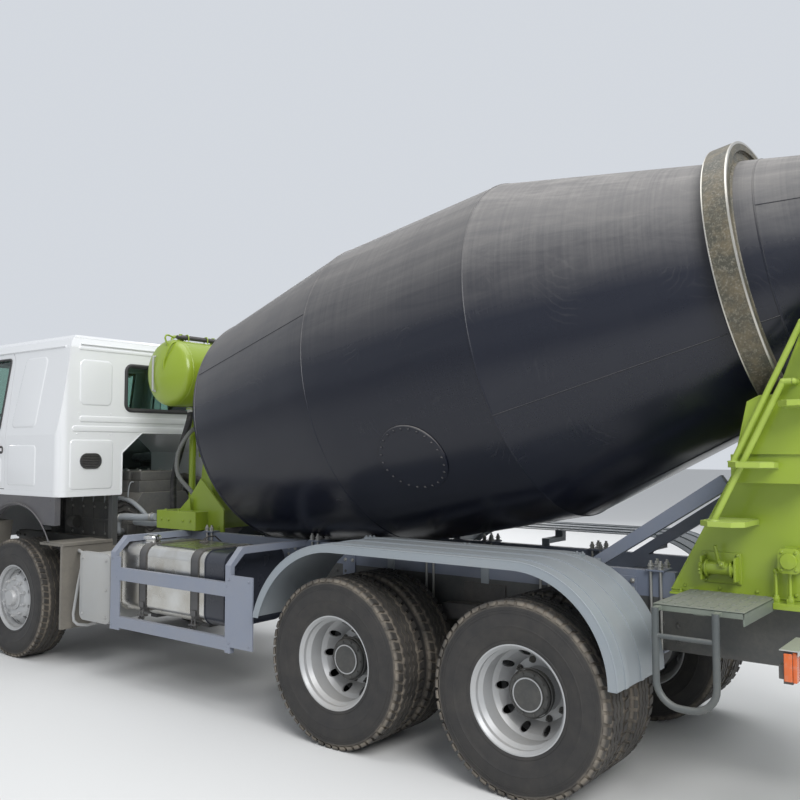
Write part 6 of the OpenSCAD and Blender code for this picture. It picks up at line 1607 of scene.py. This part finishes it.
side_lamps.piece("side_lamps", orange_lens, "cab", slot="lamp")

# Cab interior: sprung seats and a bunk in dark woven cloth over foam, sewn in
# channels, on plastic bases, with a moulded dash, steering wheel and floor mat.
cloth, tree, skin = new_material("Woven cloth")
place = spot_on(tree)
warp = stripes(tree, place, 130.0, "X")
weft = stripes(tree, place, 130.0, "Y")
weave = maths(tree, "MULTIPLY", warp, weft)
fade = noise(tree, place, 6.0, 5.0)
thread = mix_colours(tree, weave, colour(0.04, 0.042, 0.048), colour(0.105, 0.108, 0.118))
feed(skin, {"Base Color": mix_colours(tree, fade, thread, colour(0.06, 0.058, 0.058)), "Roughness": 0.9,
            "Sheen Weight": 0.3, "Normal": relief(tree, weave, 0.001)})


def cushion(name, low, high, up, channels, crown=0.03):
    """A crowned pad with rounded sides that pull in, and sewn channels across its top."""
    low, high = Vector(low), Vector(high)
    middle, half = (low + high) / 2, (high - low) / 2
    along, side = [i for i in range(3) if i != up]
    pad = Shape()
    bmesh.ops.create_cube(pad.bm, size=2.0)
    bmesh.ops.subdivide_edges(pad.bm, edges=pad.bm.edges[:], cuts=23, use_grid_fill=True)
    corner = 0.045
    for v in pad.bm.verts:
        u = v.co.copy()
        spot = Vector([u[i] * half[i] for i in range(3)])
        core = Vector([max(-half[i] + corner, min(half[i] - corner, spot[i])) for i in range(3)])
        out = spot - core
        if out.length > 1e-6:
            spot = core + out.normalized() * corner
        dome = (1 - u[along] ** 2) * (1 - u[side] ** 2)
        if u[up] > 0:
            spot[up] -= crown * (1 - dome)
            seam = abs(math.sin(math.pi * channels * (u[along] + 1) / 2)) ** 0.35
            spot[up] -= 0.012 * (1 - seam) * min(1.0, 4 * (1 - abs(u[side])))
        pinch = 1 - 0.03 * (1 - u[up] ** 2) * (1 - abs(u[along] * u[side]))
        spot[along] *= pinch
        spot[side] *= pinch
        v.co = middle + spot
    made = pad.piece(name, cloth, "cab", smooth=80, slot="interior")
    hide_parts("cab_interior")


FLOOR_Z, SEAT_Y = 1.541, 0.8
for side, s in (("left", 1), ("right", -1)):
    cushion("seat_cushion_" + side, (0.2, s * SEAT_Y - 0.235, 1.78), (0.68, s * SEAT_Y + 0.235, 1.9), 2, 4)
    back = [(0.1, s * SEAT_Y - 0.225, 1.89), (0.215, s * SEAT_Y + 0.225, 2.34)]
    cushion("seat_back_" + side, back[0], back[1], 0, 1, crown=0.02)
    cushion("head_rest_" + side, (0.11, s * SEAT_Y - 0.13, 2.35), (0.205, s * SEAT_Y + 0.13, 2.495), 0, 1,
            crown=0.015)
cushion("bunk_mattress", (-0.655, -1.03, 2.136), (-0.085, 1.03, 2.234), 2, 3, crown=0.014)
dash_plastic = painted("Dash plastic", (0.09, 0.088, 0.086), gloss=0.6, dust=0.15, grain=0.4, edge=0.003, wear=0.1)
dash = Shape()
for s in (1, -1):
    dash.block((0.25, s * SEAT_Y - 0.19, FLOOR_Z), (0.61, s * SEAT_Y + 0.19, 1.64), 0.02)
    for i in range(5):
        r = 0.165 - (i % 2) * 0.02
        dash.block((0.43 - r, s * SEAT_Y - r, 1.635 + 0.029 * i), (0.43 + r, s * SEAT_Y + r, 1.668 + 0.029 * i),
                   0.012)
    dash.block((-0.655, s * 0.625, FLOOR_Z), (-0.085, s * 1.045, 2.134), 0.015)
    for k in (-1, 1):
        dash.tube([(0.158, s * SEAT_Y + k * 0.05, 2.32), (0.158, s * SEAT_Y + k * 0.05, 2.375)], 0.007, 8)
dash.prism([(x, z) for x, z in ((0.96, 1.7), (0.95, 1.9), (1.01, 2.01), (1.1, 2.046), (1.27, 2.046), (1.278, 1.655),
                                (1.1, 1.655))], -1.045, 1.045, "Y", 0.012)
dash.block((0.9, 0.56, 1.985), (1.08, 0.88, 2.048), 0.02)
dash.block((0.935, -0.26, 1.7), (0.965, 0.26, 1.96), 0.01)
for y in (-0.18, -0.06, 0.06, 0.18):
    dash.block((0.928, y - 0.045, 1.88), (0.938, y + 0.045, 1.94), 0.003)
dash.tube([(1.0, 0.72, 1.95), (0.836, 0.72, 2.143)], 0.025, 18)
wheel_place = tilted((0.83, 0.72, 2.15), -40, "Y")
rim = [wheel_place @ Vector((0.215 * math.cos(a), 0.215 * math.sin(a), 0))
       for a in [math.tau * i / 48 for i in range(49)]]
dash.tube(rim, 0.0145, 12, ends=False)
dash.lathe([(TIP, 0.024), (0.05, 0.022), (0.062, 0.006), (0.055, -0.012), (TIP, -0.014)], wheel_place, steps=32)
for k in range(3):
    dash.block((0.045, -0.014, -0.006), (0.208, 0.014, 0.006), 0.004,
               wheel_place @ Matrix.Rotation(math.tau * k / 3, 4, "Z"))
dash_piece = dash.piece("dash_and_bases", dash_plastic, "cab", smooth=40, slot="interior")
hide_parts("cab_interior")
